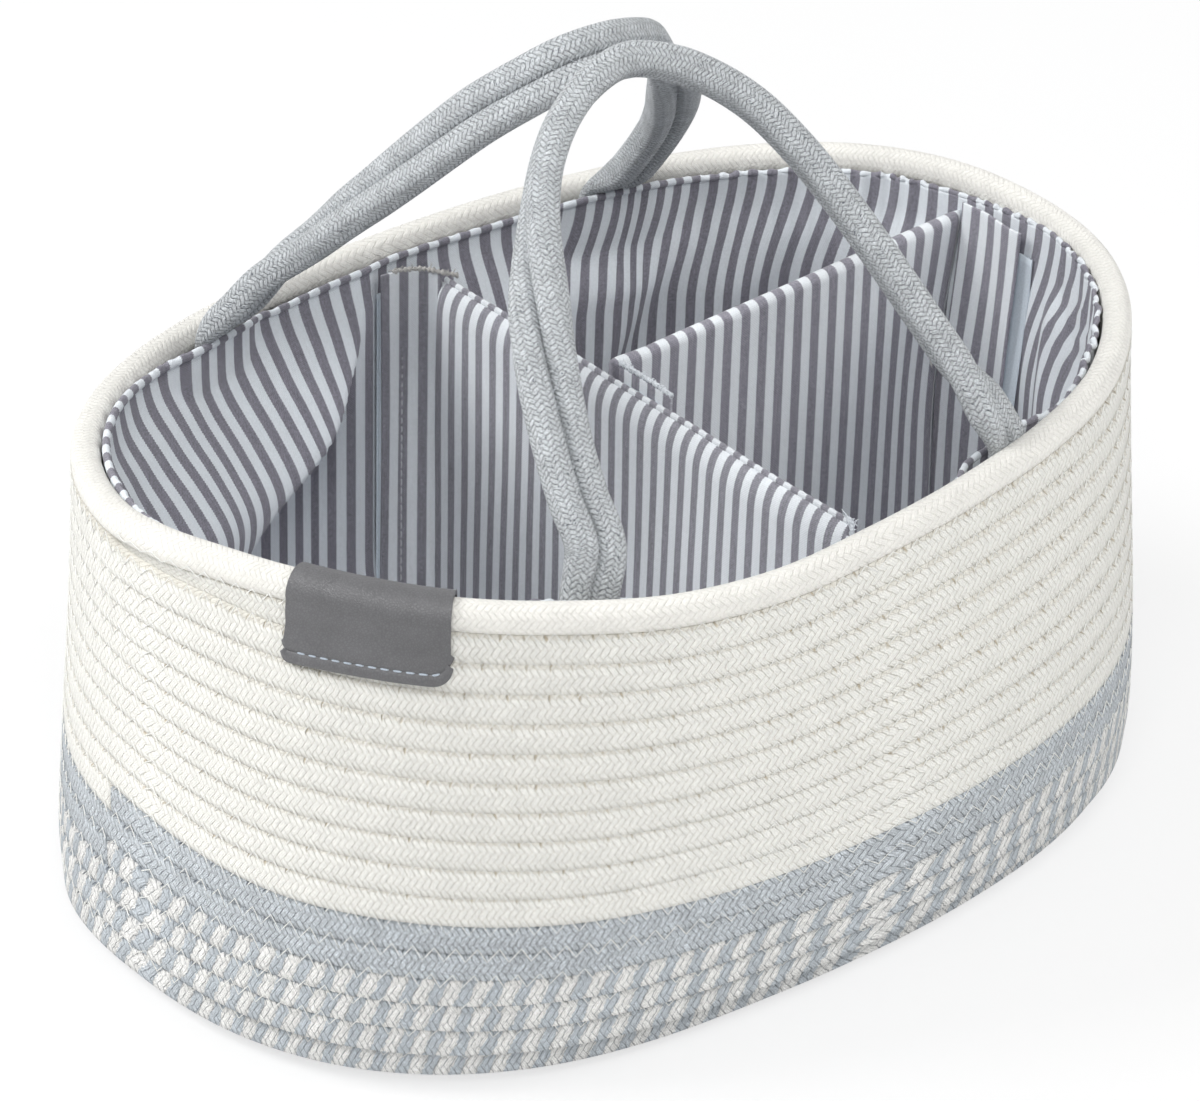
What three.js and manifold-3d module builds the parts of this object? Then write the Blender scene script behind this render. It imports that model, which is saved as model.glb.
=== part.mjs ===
// Diaper caddy: an oval basket coiled from cotton rope, with a striped cotton lining, two handles of
// twin rope and two padded dividers that lift out. Millimetres, +Z up. The origin is the middle of the
// underside, +X runs along the length and -Y faces the side with the leather patch.
import * as THREE from 'three';
import Module from 'manifold-3d';
import { mergeVertices } from 'three/addons/utils/BufferGeometryUtils.js';

const { clamp, degToRad, euclideanModulo, lerp, smoothstep } = THREE.MathUtils;
const wasm = await Module();
wasm.setup();

// Wall line of the basket, between rope centres
const rimLength = 371.6;
const rimWidth = 257;
const rimLevel = 160;
const footFlare = 6;
const endWaist = 3.2;
const sideBelly = 12;
const rimDip = 5.2;
const rimPower = 2.26;
const footPower = 2.48;
const bellyHeightShare = 0.8;

// Rope of the coil, and its first courses where the floor turns up into the wall
const ropeWidth = 9;
const ropeHeight = 9.1;
const underCut = 0.9;
const ropeEndGap = 0.4;
const jointAngle = degToRad(174);
const turnSteps = 24;
const floorTurns = 11.79;
const floorSpacing = 10.1;
const toeInset = 8.8;
const heelInset = 1.5;
const heelRise = 7.5;
const secondRise = 18;
const marledTurns = 4;
const greyTurns = 2;
const creamTurns = 10;
const taperTurns = 0.14;
const taperPastTurns = 0.03;
const taperTipShare = 0.12;
const rimFallTurns = 0.166;
const rimSettleTurns = 0.055;
const rimJointTurns = 0.893;

// Lining, a straight cloth tube with its own floor and a rolled hem
const liningEndInset = 8.6;
const liningInset = 6.7;
const liningCloth = 1.2;
const liningFootInset = 5;
const liningFootRise = 8;
const liningSteps = 48;
const seatGap = 0.3;
const hemRadius = 1.5;
const hemBelowRim = 4;
const rootSpread = 22;
const rootFade = 16;
const rootSlack = 0.6;

// Handles, each of two ropes side by side that twist a quarter turn on the way to the crown
const handleSpread = 176;
const handleRise = 145;
const archPower = 1.7;
const handleRope = 10.2;
const handleRopeGap = 0.5;
const handleSides = 8;
const handleSteps = 36;
const ballSteps = 3;
const frontHandleX = -13;
const rearHandleX = 2;
const frontLean = degToRad(38);
const rearLean = degToRad(41);
const frontSkew = -8;
const rearSkew = 8;
const rootDepth = 38;
const rootThickness = 6;
const rootFacet = 1.8;
const rootFlatBelowRim = 2;
const swingClearance = 1.5;

// Dividers, each a foam board in a cloth cover
const dividerThickness = 6;
const dividerCloth = 1.1;
const dividerEdge = 1.2;
const crossX = 12.2;
const crossRearRoom = 15;
const crossFrontRoom = 19.2;
const crossHeight = 141.5;
const longY = 22;
const longHeight = 143.5;
const longEndHeight = 149.5;

// Fold-over flaps at the divider ends, and the hook and loop strips that hold them
const flapWidth = 27;
const flapCloth = 1.1;
const flapLift = 7.5;
const flapShortfall = 2.5;
const leftFlapRise = 0.5;
const rightFlapRise = 3;
const rightLoopDrop = 3;
const hingeGap = 0.8;
const stripThickness = 1;
const hookWidth = 20;
const loopWidth = 25;
const stripMargin = 5;
const loopShift = 11;
const facetAllowance = 0.6;

// Leather patch folded over the rim
const patchFromAngle = degToRad(-137.2);
const patchToAngle = degToRad(-157.2);
const patchDrop = 21;
const patchThickness = 1.5;
const patchClearance = 0.45;
const patchInnerRoom = 1.3;
const patchSteps = 10;
const patchRows = 3;
const patchArcSteps = 6;
const threadThickness = 0.7;
const threadAboveEdge = 4;
const threadMargin = degToRad(0.6);

// Sizes that follow from those above
const fullTurn = 2 * Math.PI;
const floorLevel = ropeHeight / 2 - underCut;
const wallTurns = marledTurns + greyTurns + creamTurns;
const courseRise = (rimLevel - floorLevel - secondRise) / (wallTurns - 2);
const liningLength = rimLength - 2 * liningEndInset;
const liningWidth = rimWidth - 2 * liningInset;
const liningOval = [liningLength / 2, liningWidth / 2, rimPower];
const crossRearY = liningWidth / 2 - crossRearRoom;
const crossFrontY = crossFrontRoom - liningWidth / 2;
const liningFloor = floorLevel + ropeHeight / 2 + seatGap;
const rootInset = ropeWidth / 2 + rootFacet + seatGap + rootThickness / 2;
const rootRoom = rootInset + rootThickness / 2 + rootSlack - liningInset;
const handleInset = rootInset + (handleRope - rootThickness) / 2;
const twinOffset = (handleRope + handleRopeGap) / 2;
const patchRadius = Math.hypot(ropeWidth / 4, ropeHeight / 2) + patchClearance;
const dividerFoot = liningFloor + liningCloth + seatGap;

const material = (color, roughness) => new THREE.MeshStandardMaterial({ color, roughness, metalness: 0 });
const creamRope = material(0xefebdf, 0.95);
const greyRope = material(0xb4b9be, 0.95);
const marledRope = material(0xd3d4d2, 0.95);
const handleCotton = material(0xb2b8bd, 0.95);
const stripedCotton = material(0xa6a5aa, 0.9);
const dividerCotton = material(0xb9bcc2, 0.9);
const foamBoard = material(0xf2f0ea, 0.85);
const hookTape = material(0xe4ebf2, 0.8);
const leather = material(0x696969, 0.55);
const thread = material(0xaab6c2, 0.7);

const basket = new THREE.Group();

// Adds one piece to the basket, or to a group of it
function add(name, geometry, look, parent = basket) {
  const mesh = new THREE.Mesh(geometry, look);
  mesh.name = name;
  parent.add(mesh);
}

// Closed skin over a row of rings with equal numbers of points. The end rings are capped, after the
// flat outline in section where the ring isn't convex, unless the last ring joins the first.
function skin(rings, joined = false, section = null) {
  const sides = rings[0].length;
  const faces = [];
  const bands = joined ? rings.length : rings.length - 1;
  for (let band = 0; band < bands; band += 1) {
    const near = band * sides;
    const far = ((band + 1) % rings.length) * sides;
    for (let side = 0; side < sides; side += 1) {
      const next = (side + 1) % sides;
      faces.push([near + side, near + next, far + next], [near + side, far + next, far + side]);
    }
  }
  if (!joined) {
    const last = (rings.length - 1) * sides;
    const fan = Array.from({ length: sides - 2 }, (_, side) => [0, side + 1, side + 2]);
    const cap = section ? THREE.ShapeUtils.triangulateShape(section, []) : fan;
    for (const [a, b, c] of cap) {
      faces.push([a, c, b], [last + a, last + b, last + c]);
    }
  }
  const points = rings.flat();
  const volume = faces.reduce((sum, [a, b, c]) => sum + points[a].dot(points[b].clone().cross(points[c])), 0);
  const geometry = new THREE.BufferGeometry().setFromPoints(points);
  geometry.setIndex(faces.flatMap(([a, b, c]) => (volume > 0 ? [a, b, c] : [a, c, b])));
  return geometry;
}

// Half length, half width and power of the wall line's oval at a height
function wallOval(height) {
  const share = clamp((height - floorLevel) / (rimLevel - floorLevel), 0, 1);
  const flare = footFlare * (1 - share) ** 2;
  const waist = endWaist * Math.sin(Math.PI * share);
  const belly = sideBelly * Math.sin(Math.PI * share ** bellyHeightShare);
  return [rimLength / 2 + flare - waist, rimWidth / 2 + belly, lerp(footPower, rimPower, share)];
}

// Point of a superellipse: |x / a| ^ power + |y / b| ^ power = 1
function ovalPoint(angle, [a, b, power], inset = 0) {
  const x = Math.cos(angle);
  const y = Math.sin(angle);
  const along = Math.sign(x) * Math.abs(x) ** (2 / power) * (a - inset);
  return new THREE.Vector3(along, Math.sign(y) * Math.abs(y) ** (2 / power) * (b - inset), 0);
}

// The coil climbs clockwise, seen from above, and starts each turn at the joint near the left end
const coilAngle = (turns) => jointAngle - fullTurn * turns;
const coilPhase = (angle) => euclideanModulo((jointAngle - angle) / fullTurn, 1);

// Height of the coil, and how far it lies inside the wall line, after a number of turns of the wall
function course(turns) {
  if (turns <= 1) {
    const share = Math.max(turns, 0);
    return [floorLevel + heelRise * share, lerp(toeInset, heelInset, share)];
  }
  if (turns <= 2) {
    return [floorLevel + lerp(heelRise, secondRise, turns - 1), heelInset * (2 - turns)];
  }
  return [floorLevel + secondRise + courseRise * (turns - 2), 0];
}

// The ends of the basket stand higher than its long sides, more so towards the rim
function dip(angle, height) {
  return rimDip * Math.cos(2 * angle) * (height - floorLevel) / (rimLevel - floorLevel);
}

// Centre of the coil. Its floor turns are the wall's first turn drawn in towards a straight core.
function coilPoint(turns) {
  const angle = coilAngle(turns);
  const [height, inset] = course(turns);
  const oval = wallOval(height);
  const point = ovalPoint(angle, oval, inset);
  if (turns < 0) {
    const coreHalf = oval[0] - oval[1];
    const core = new THREE.Vector3(clamp(point.x, -coreHalf, coreHalf), 0, 0);
    point.lerp(core, -turns * floorSpacing / (oval[1] - inset));
  }
  return point.setZ(height + dip(angle, height));
}

// The rim rope lies on the last course, and falls over the course's tapered end to its own start
function rimHeight(turns) {
  const fallStart = 1 + rimSettleTurns - rimFallTurns;
  const phase = euclideanModulo(turns, 1);
  if (phase >= rimSettleTurns && phase <= fallStart) {
    return course(wallTurns + phase)[0];
  }
  const along = (phase < rimSettleTurns ? phase + 1 : phase) - fallStart;
  const [high] = course(wallTurns + fallStart);
  return lerp(high, course(wallTurns + rimSettleTurns)[0], along / rimFallTurns);
}

function rimPoint(turns) {
  const angle = coilAngle(turns);
  const height = rimHeight(turns);
  return ovalPoint(angle, wallOval(height)).setZ(height + dip(angle, height));
}

// Six-sided section of rope across its path, cut flat where it would reach under the floor
function ropeRing(pathAt, turns, thickness = 1) {
  const step = 0.5 / turnSteps;
  const along = pathAt(turns + step).sub(pathAt(turns - step)).setZ(0).normalize();
  const outward = new THREE.Vector3(-along.y, along.x, 0);
  const centre = pathAt(turns);
  centre.z -= (1 - thickness) * ropeHeight / 2;
  return Array.from({ length: 6 }, (_, corner) => {
    const angle = corner * fullTurn / 6;
    const point = centre.clone().addScaledVector(outward, Math.cos(angle) * thickness * ropeWidth / 2);
    point.z += Math.sin(angle) / Math.sin(fullTurn / 6) * thickness * ropeHeight / 2;
    return point.setZ(Math.max(point.z, 0));
  });
}

// Turns at which a length of rope has a section: its two ends, and whole steps between them
function ropeStops(from, to) {
  const first = Math.floor(from * turnSteps) + 1;
  const stops = [from];
  for (let step = first; step < to * turnSteps; step += 1) {
    stops.push(step / turnSteps);
  }
  return [...stops, to];
}

// Smallest distance between turns of one rope, between points on its sections
function leastGap(rings) {
  const reach = 2 * ropeWidth;
  let least = Infinity;
  rings.forEach((ring, index) => {
    for (let other = index + turnSteps / 4; other < rings.length; other += 1) {
      if (ring[0].distanceTo(rings[other][0]) < reach) {
        for (const point of ring) {
          least = Math.min(least, ...rings[other].map((place) => place.distanceTo(point)));
        }
      }
    }
  });
  return least;
}

// One rope of the coil between two numbers of turns
function addCoil(name, from, to, look, thicknessAt = () => 1) {
  const turnLength = Math.PI * (rimLength + rimWidth) / 2;
  const gap = ropeEndGap / 2 / turnLength;
  const stops = ropeStops(from + gap, to - gap);
  const rings = stops.map((turns) => ropeRing(coilPoint, turns, thicknessAt(turns)));
  console.log(`${name}: least gap between its turns ${leastGap(rings).toFixed(2)} mm`);
  add(name, skin(rings), look);
}

function addBasketRopes() {
  const greyStart = marledTurns;
  const creamStart = greyStart + greyTurns;
  const creamEnd = wallTurns + taperPastTurns;
  const creamThickness = (turns) => clamp((creamEnd - turns) / taperTurns, taperTipShare, 1);
  addCoil('floor_rope', -floorTurns, 0, marledRope);
  addCoil('marled_rope', 0, greyStart, marledRope);
  addCoil('grey_rope', greyStart, creamStart, greyRope);
  addCoil('cream_rope', creamStart, creamEnd, creamRope, creamThickness);
  const jointGap = ropeEndGap / 2 / (Math.PI * (rimLength + rimWidth) / 2);
  const stops = ropeStops(rimJointTurns - 1 + jointGap, rimJointTurns - jointGap);
  add('rim_rope', skin(stops.map((turns) => ropeRing(rimPoint, turns))), creamRope);
}

// Place on the rim's centre line at a length along X, on the rear side (1) or the front side (-1)
function rimPlace(x, side) {
  const [a, b, power] = wallOval(rimLevel);
  const y = side * b * (1 - Math.abs(x / a) ** power) ** (1 / power);
  const slopeX = Math.sign(x) * Math.abs(x / a) ** (power - 1) / a;
  const slopeY = side * Math.abs(y / b) ** (power - 1) / b;
  const outward = new THREE.Vector3(slopeX, slopeY, 0).normalize();
  const angle = Math.atan2(side * Math.abs(y / b) ** (power / 2), Math.sign(x) * Math.abs(x / a) ** (power / 2));
  const height = rimHeight(coilPhase(angle));
  const level = height + dip(angle, height);
  return { point: new THREE.Vector3(x, y, level), outward, side };
}

// Feet, hinge line and lean of each handle
function handlePlan(name, x, side, lean, skew, nearInside) {
  const feet = [-1, 1].map((end) => rimPlace(x + end * handleSpread / 2, side));
  const rimTop = Math.max(...feet.map((foot) => foot.point.z)) + ropeHeight / 2;
  const hingeLevel = rimTop + handleRope / 2 + swingClearance;
  const hinges = feet.map((foot) => foot.point.clone().addScaledVector(foot.outward, -handleInset).setZ(hingeLevel));
  return { name, feet, hinges, side, lean, skew, nearInside };
}

const handles = [
  handlePlan('front_handle', frontHandleX, -1, frontLean, frontSkew, true),
  handlePlan('rear_handle', rearHandleX, 1, rearLean, rearSkew, false),
];

// Extra room that the lining gives the handle ropes behind it, at a point of the wall line
function roomAt(point) {
  const nearest = handles.flatMap(({ feet }) => feet)
    .filter((foot) => foot.side * point.y > 0)
    .map((foot) => Math.abs(foot.point.x - point.x));
  return rootRoom * (1 - smoothstep(Math.min(...nearest), rootSpread, rootSpread + rootFade));
}

// Ring of the lining at an inset from its outer face, at a level for each angle
function liningRing(inset, levelAt, room) {
  return Array.from({ length: liningSteps }, (_, step) => {
    const angle = coilAngle(step / liningSteps);
    const extra = room * roomAt(ovalPoint(angle, liningOval));
    return ovalPoint(angle, liningOval, inset + extra).setZ(levelAt(angle));
  });
}

const hemLevel = (angle) => {
  const height = rimHeight(coilPhase(angle));
  return height + dip(angle, height) - hemBelowRim;
};

function addLining() {
  const top = (angle) => hemLevel(angle) - hemRadius - seatGap;
  const rootFoot = Math.min(...handles.map(({ hinges }) => hinges[0].z)) - rootDepth - seatGap;
  const rows = [
    [() => liningFloor, liningFootInset, 0],
    [() => liningFloor + liningFootRise, 0, 0],
    [() => rootFoot - rootFade, 0, 0],
    [() => rootFoot, 0, 1],
    [top, 0, 1],
  ];
  const outer = rows.map(([level, inset, room]) => liningRing(inset, level, room));
  const inner = rows.map(([level, inset, room]) => liningRing(inset + liningCloth, level, room)).reverse();
  add('lining_wall', skin([...outer, ...inner], true), stripedCotton);

  const floorOutline = liningRing(liningFootInset + liningCloth + seatGap, () => liningFloor, 0);
  const floorPlate = new THREE.ExtrudeGeometry(new THREE.Shape(floorOutline), { depth: liningCloth, bevelEnabled: false });
  add('lining_floor', floorPlate.translate(0, 0, liningFloor), stripedCotton);

  const rings = Array.from({ length: liningSteps }, () => []);
  for (let corner = 0; corner < 6; corner += 1) {
    const angle = corner * fullTurn / 6;
    const inset = hemRadius * (1 - Math.cos(angle));
    const level = (place) => hemLevel(place) + hemRadius * Math.sin(angle);
    liningRing(inset, level, 1).forEach((point, step) => rings[step].push(point));
  }
  add('lining_hem', skin(rings, true), stripedCotton);
}

// Flat or round section of a handle rope: width along one direction, thickness along another
function handleRing(centre, wide, thick, width, thickness) {
  return Array.from({ length: handleSides }, (_, corner) => {
    const angle = (corner + 0.5) * fullTurn / handleSides;
    return centre.clone()
      .addScaledVector(wide, Math.cos(angle) * width / 2)
      .addScaledVector(thick, Math.sin(angle) * thickness / 2);
  });
}

// Rope ends that run down between the wall and the lining, flattened where they are sewn
function addHandleEnds({ name, feet, hinges }) {
  const axis = hinges[1].clone().sub(hinges[0]).normalize();
  feet.forEach(({ point, outward }, index) => {
    const tangent = new THREE.Vector3(outward.y, -outward.x, 0);
    tangent.multiplyScalar(Math.sign(tangent.x));
    const flatPlace = point.clone().addScaledVector(outward, -rootInset);
    const across = new THREE.Vector3(-axis.y, axis.x, 0);
    for (const [place, away] of [['outer', 1], ['inner', -1]]) {
      const offset = away * Math.sign(index - 0.5) * twinOffset;
      const flat = (level) => handleRing(flatPlace.clone().addScaledVector(tangent, offset).setZ(level), tangent, outward, handleRope, rootThickness);
      const topPlace = hinges[index].clone().addScaledVector(axis, offset);
      topPlace.z -= handleRope / 2 + seatGap;
      const top = handleRing(topPlace, axis, across.clone().multiplyScalar(Math.sign(across.dot(outward))), handleRope, handleRope);
      const rings = [flat(hinges[index].z - rootDepth), flat(point.z - rootFlatBelowRim), top];
      add(`${name}_${index ? 'right' : 'left'}_${place}_end`, skin(rings), handleCotton);
    }
  });
}

// One rope of a handle's arch, in the frame of the hinge line: X along it and Z up the arch. Each foot
// is a ball about the hinge line. The two ropes lie side by side along the rim at the feet and side by
// side across the arch at its crown, which is skewed towards one foot. The near rope is the inner one at
// both feet or the outer one.
function archRope(half, skew, nearInside, side) {
  const arch = (u) => {
    const along = -half * Math.cos(u) + skew * Math.sin(u) ** 2;
    return new THREE.Vector3(along, 0, handleRise * Math.sin(u) ** (2 / archPower));
  };
  const depth = new THREE.Vector3(0, 1, 0);
  const ringAt = (u, sink = 0, size = 1) => {
    const nudge = Math.PI / handleSteps / 2;
    const lower = Math.max(u - nudge, 0);
    const upper = Math.min(u + nudge, Math.PI);
    const atFoot = u === 0 || u === Math.PI;
    const along = atFoot ? new THREE.Vector3(0, 0, u === 0 ? 1 : -1) : arch(upper).sub(arch(lower)).normalize();
    const outward = new THREE.Vector3(-along.z, 0, along.x);
    const climb = smoothstep(Math.min(u, Math.PI - u), 0, Math.PI / 2) * Math.PI / 2;
    const twist = nearInside ? Math.PI - climb : climb;
    const centre = arch(u).addScaledVector(outward, side * Math.cos(twist) * twinOffset);
    centre.addScaledVector(depth, -side * Math.sin(twist) * twinOffset);
    centre.z -= sink;
    return handleRing(centre, outward, depth, size * handleRope, size * handleRope);
  };
  const ball = (u) => Array.from({ length: ballSteps }, (_, step) => {
    const latitude = (ballSteps - step) * Math.PI / 2 / (ballSteps + 0.5);
    return ringAt(u, Math.sin(latitude) * handleRope / 2, Math.cos(latitude));
  });
  const length = Array.from({ length: handleSteps + 1 }, (_, step) => ringAt(step === handleSteps ? Math.PI : step * Math.PI / handleSteps));
  return skin([...ball(0), ...length, ...ball(Math.PI).reverse()]);
}

function addHandle({ name, hinges, side, lean, skew, nearInside }) {
  const frame = new THREE.Group();
  frame.position.copy(hinges[0]).lerp(hinges[1], 0.5);
  frame.rotation.z = Math.atan2(hinges[1].y - hinges[0].y, hinges[1].x - hinges[0].x);
  const arch = new THREE.Group();
  arch.rotation.x = side * lean;
  frame.add(arch);
  basket.add(frame);
  const half = hinges[0].distanceTo(hinges[1]) / 2;
  add(`${name}_near_rope`, archRope(half, skew, nearInside, 1), handleCotton, arch);
  add(`${name}_far_rope`, archRope(half, skew, nearInside, -1), handleCotton, arch);
}

// Solid of a closed geometry, for cuts
function solid(geometry) {
  const bare = geometry.clone();
  bare.deleteAttribute('normal');
  bare.deleteAttribute('uv');
  const merged = mergeVertices(bare);
  const mesh = new wasm.Mesh({ numProp: 3, vertProperties: merged.attributes.position.array, triVerts: new Uint32Array(merged.index.array) });
  return new wasm.Manifold(mesh);
}

function cut(body, tool) {
  const mesh = solid(body).subtract(solid(tool)).getMesh();
  const geometry = new THREE.BufferGeometry();
  geometry.setAttribute('position', new THREE.BufferAttribute(mesh.vertProperties, 3));
  geometry.setIndex(new THREE.BufferAttribute(mesh.triVerts, 1));
  return geometry;
}

// Upright panel along X with its foot at zero and a top edge between two heights
function panel(length, heights, foot, thickness, edge) {
  const half = length / 2;
  const outline = new THREE.Shape([
    new THREE.Vector2(-half, foot),
    new THREE.Vector2(half, foot),
    new THREE.Vector2(half, heights[1]),
    new THREE.Vector2(-half, heights[0]),
  ]);
  const bevel = { bevelThickness: edge, bevelSize: edge, bevelOffset: -edge, bevelSegments: 2 };
  const shape = new THREE.ExtrudeGeometry(outline, { depth: thickness - 2 * edge, bevelEnabled: edge > 0, ...bevel });
  return shape.translate(0, 0, edge - thickness / 2).rotateX(Math.PI / 2);
}

// Foam board in a cloth cover that is open along its foot
function addDivider(name, length, heights, place) {
  const group = new THREE.Group();
  place(group);
  basket.add(group);
  const shrink = (by) => heights.map((height) => height - by);
  const pocket = panel(length - 2 * dividerCloth, shrink(dividerCloth), -dividerThickness, dividerThickness - 2 * dividerCloth, 0);
  add(`${name}_cover`, cut(panel(length, heights, 0, dividerThickness, dividerEdge), pocket), dividerCotton, group);
  const margin = dividerCloth + seatGap;
  const board = panel(length - 2 * margin, shrink(margin), 0, dividerThickness - 2 * margin, 0);
  add(`${name}_board`, board, foamBoard, group);
}

// Upright sheet whose plan outline is given as X and Y pairs
function upright(outline, foot, top) {
  const shape = new THREE.Shape(outline.map(([x, y]) => new THREE.Vector2(x, y)));
  return new THREE.ExtrudeGeometry(shape, { depth: top - foot, bevelEnabled: false }).translate(0, 0, foot);
}

const rectangle = (x0, x1, y0, y1) => [[x0, y0], [x1, y0], [x1, y1], [x0, y1]];

// Inner face of the lining at a length along X, or at a width along Y, less an allowance for its facets
function liningReach(along, across, place) {
  const share = Math.abs(place) / (along / 2 - liningCloth);
  return (across / 2 - liningCloth) * (1 - share ** rimPower) ** (1 / rimPower) - facetAllowance;
}

// A loop strip on the lining, a hook strip and a flap stand one behind the other
const stripStack = [stripThickness, stripThickness, flapCloth].map((_, index, sizes) => {
  const behind = sizes.slice(0, index).reduce((sum, size) => sum + size + seatGap, seatGap);
  return [behind, behind + sizes[index]];
});

function addCrossDivider() {
  const length = crossRearY - crossFrontY;
  addDivider('cross_divider', length, [crossHeight, crossHeight], (group) => {
    group.position.set(crossX, (crossRearY + crossFrontY) / 2, dividerFoot);
    group.rotation.z = Math.PI / 2;
  });
  const face = crossX - dividerThickness / 2;
  const flapEnd = face + flapCloth - flapWidth;
  const reach = liningReach(liningLength, liningWidth, flapEnd);
  const top = dividerFoot + crossHeight - flapShortfall;
  const foot = dividerFoot + flapLift;
  const middle = (face + flapEnd) / 2;
  for (const [end, side, endY] of [['rear', 1, crossRearY], ['front', -1, -crossFrontY]]) {
    const [loop, hook, flap] = stripStack.map(([near, far]) => [side * (reach - near), side * (reach - far)]);
    const root = side * (endY + hingeGap);
    const outline = [[face, root], [face + flapCloth, root], [face + flapCloth, flap[0]], [flapEnd, flap[0]], [flapEnd, flap[1]], [face, flap[1]]];
    add(`cross_divider_${end}_flap`, upright(side > 0 ? outline : outline.reverse(), foot, top), dividerCotton);
    const strip = (width, [y0, y1]) => rectangle(middle - width / 2, middle + width / 2, Math.min(y0, y1), Math.max(y0, y1));
    add(`cross_divider_${end}_hook_strip`, upright(strip(hookWidth, hook), foot + stripMargin, top - stripMargin), hookTape);
    add(`lining_${end}_loop_strip`, upright(strip(loopWidth, loop), foot, top), hookTape);
  }
}

function addLongDivider() {
  const flapEnd = longY - dividerThickness / 2 - hingeGap / 2 - flapWidth;
  const flapRoot = longY - dividerThickness / 2 - hingeGap / 2;
  const middle = (flapRoot + flapEnd) / 2;
  const foot = dividerFoot + flapLift;
  const crossFace = crossX + dividerThickness / 2;
  const loopEnd = middle - loopShift - loopWidth / 2;
  const reach = liningReach(liningWidth, liningLength, Math.max(Math.abs(loopEnd), Math.abs(flapRoot)));
  const left = crossFace + stripStack[2][1] + seatGap;
  const right = reach - stripStack[2][1] - hingeGap;
  addDivider('long_divider', right - left, [longHeight, longEndHeight], (group) => {
    group.position.set((left + right) / 2, longY, dividerFoot);
  });
  const ends = [
    ['left', crossFace, 1, longHeight + leftFlapRise],
    ['right', reach, -1, longEndHeight + rightFlapRise],
  ];
  for (const [end, wall, away, height] of ends) {
    const top = dividerFoot + height;
    const slab = (width, [near, far], centre = middle) => {
      const x = [wall + away * near, wall + away * far];
      return rectangle(Math.min(...x), Math.max(...x), centre - width / 2, centre + width / 2);
    };
    const [loop, hook, flap] = stripStack;
    const onCross = end === 'left';
    const loopTop = dividerFoot + (onCross ? crossHeight - flapShortfall : longEndHeight - rightLoopDrop);
    const carrier = onCross ? 'cross_divider_loop_strip' : 'lining_right_loop_strip';
    add(`long_divider_${end}_flap`, upright(slab(flapWidth, flap), foot, top), dividerCotton);
    add(`long_divider_${end}_hook_strip`, upright(slab(hookWidth, hook), foot + stripMargin, top - stripMargin), hookTape);
    add(carrier, upright(slab(loopWidth, loop, onCross ? middle : middle - loopShift), foot, loopTop), hookTape);
  }
}

// Section of the patch at an angle round the basket, as distance outward from the rim line and height:
// up the wall, over the rim rope and down to its inner side. The grow value moves it outward.
function patchLine(angle, grow) {
  const height = rimHeight(coilPhase(angle));
  const [, rimHalf] = wallOval(height);
  const line = [];
  for (let row = 0; row < patchRows; row += 1) {
    const level = height - patchDrop * (1 - row / patchRows);
    line.push(new THREE.Vector2(wallOval(level)[1] - rimHalf + patchRadius + grow, level));
  }
  for (let step = 0; step <= patchArcSteps; step += 1) {
    const bend = Math.PI * step / patchArcSteps;
    const radius = patchRadius + grow + patchInnerRoom * smoothstep(bend, Math.PI / 2, Math.PI);
    line.push(new THREE.Vector2(radius * Math.cos(bend), height + radius * Math.sin(bend)));
  }
  return line;
}

const ontoBasket = (angle) => (place) => {
  const height = rimHeight(coilPhase(angle));
  return ovalPoint(angle, wallOval(height), -place.x).setZ(place.y + dip(angle, height));
};

function addPatch() {
  const angleAt = (step, margin = 0) => lerp(patchFromAngle - margin, patchToAngle + margin, step / patchSteps);
  const rings = [];
  let section = null;
  for (let step = 0; step <= patchSteps; step += 1) {
    const angle = angleAt(step);
    section = [...patchLine(angle, patchThickness), ...patchLine(angle, 0).reverse()];
    rings.push(section.map(ontoBasket(angle)));
  }
  add('leather_patch', skin(rings, false, section), leather);

  const threadRings = [];
  for (let step = 0; step <= patchSteps; step += 1) {
    const angle = angleAt(step, threadMargin);
    const [edge, above] = patchLine(angle, patchThickness + seatGap);
    const base = edge.lerp(above, threadAboveEdge / (patchDrop / patchRows));
    const corners = [[0, 0], [1, 0], [1, 1], [0, 1]];
    const square = corners.map(([out, up]) => base.clone().add(new THREE.Vector2(out, up).multiplyScalar(threadThickness)));
    threadRings.push(square.map(ontoBasket(angle)));
  }
  add('patch_thread', skin(threadRings), thread);
}

addBasketRopes();
addLining();
handles.forEach(addHandleEnds);
handles.forEach(addHandle);
addCrossDivider();
addLongDivider();
addPatch();

export default basket;
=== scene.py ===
"""Looks of the rope diaper caddy: coiled rope, striped lining, lift-out dividers, rope handles, leather patch."""

import functools
import math

import bmesh
import bpy
import numpy as np
from mathutils import Matrix, Vector


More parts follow.
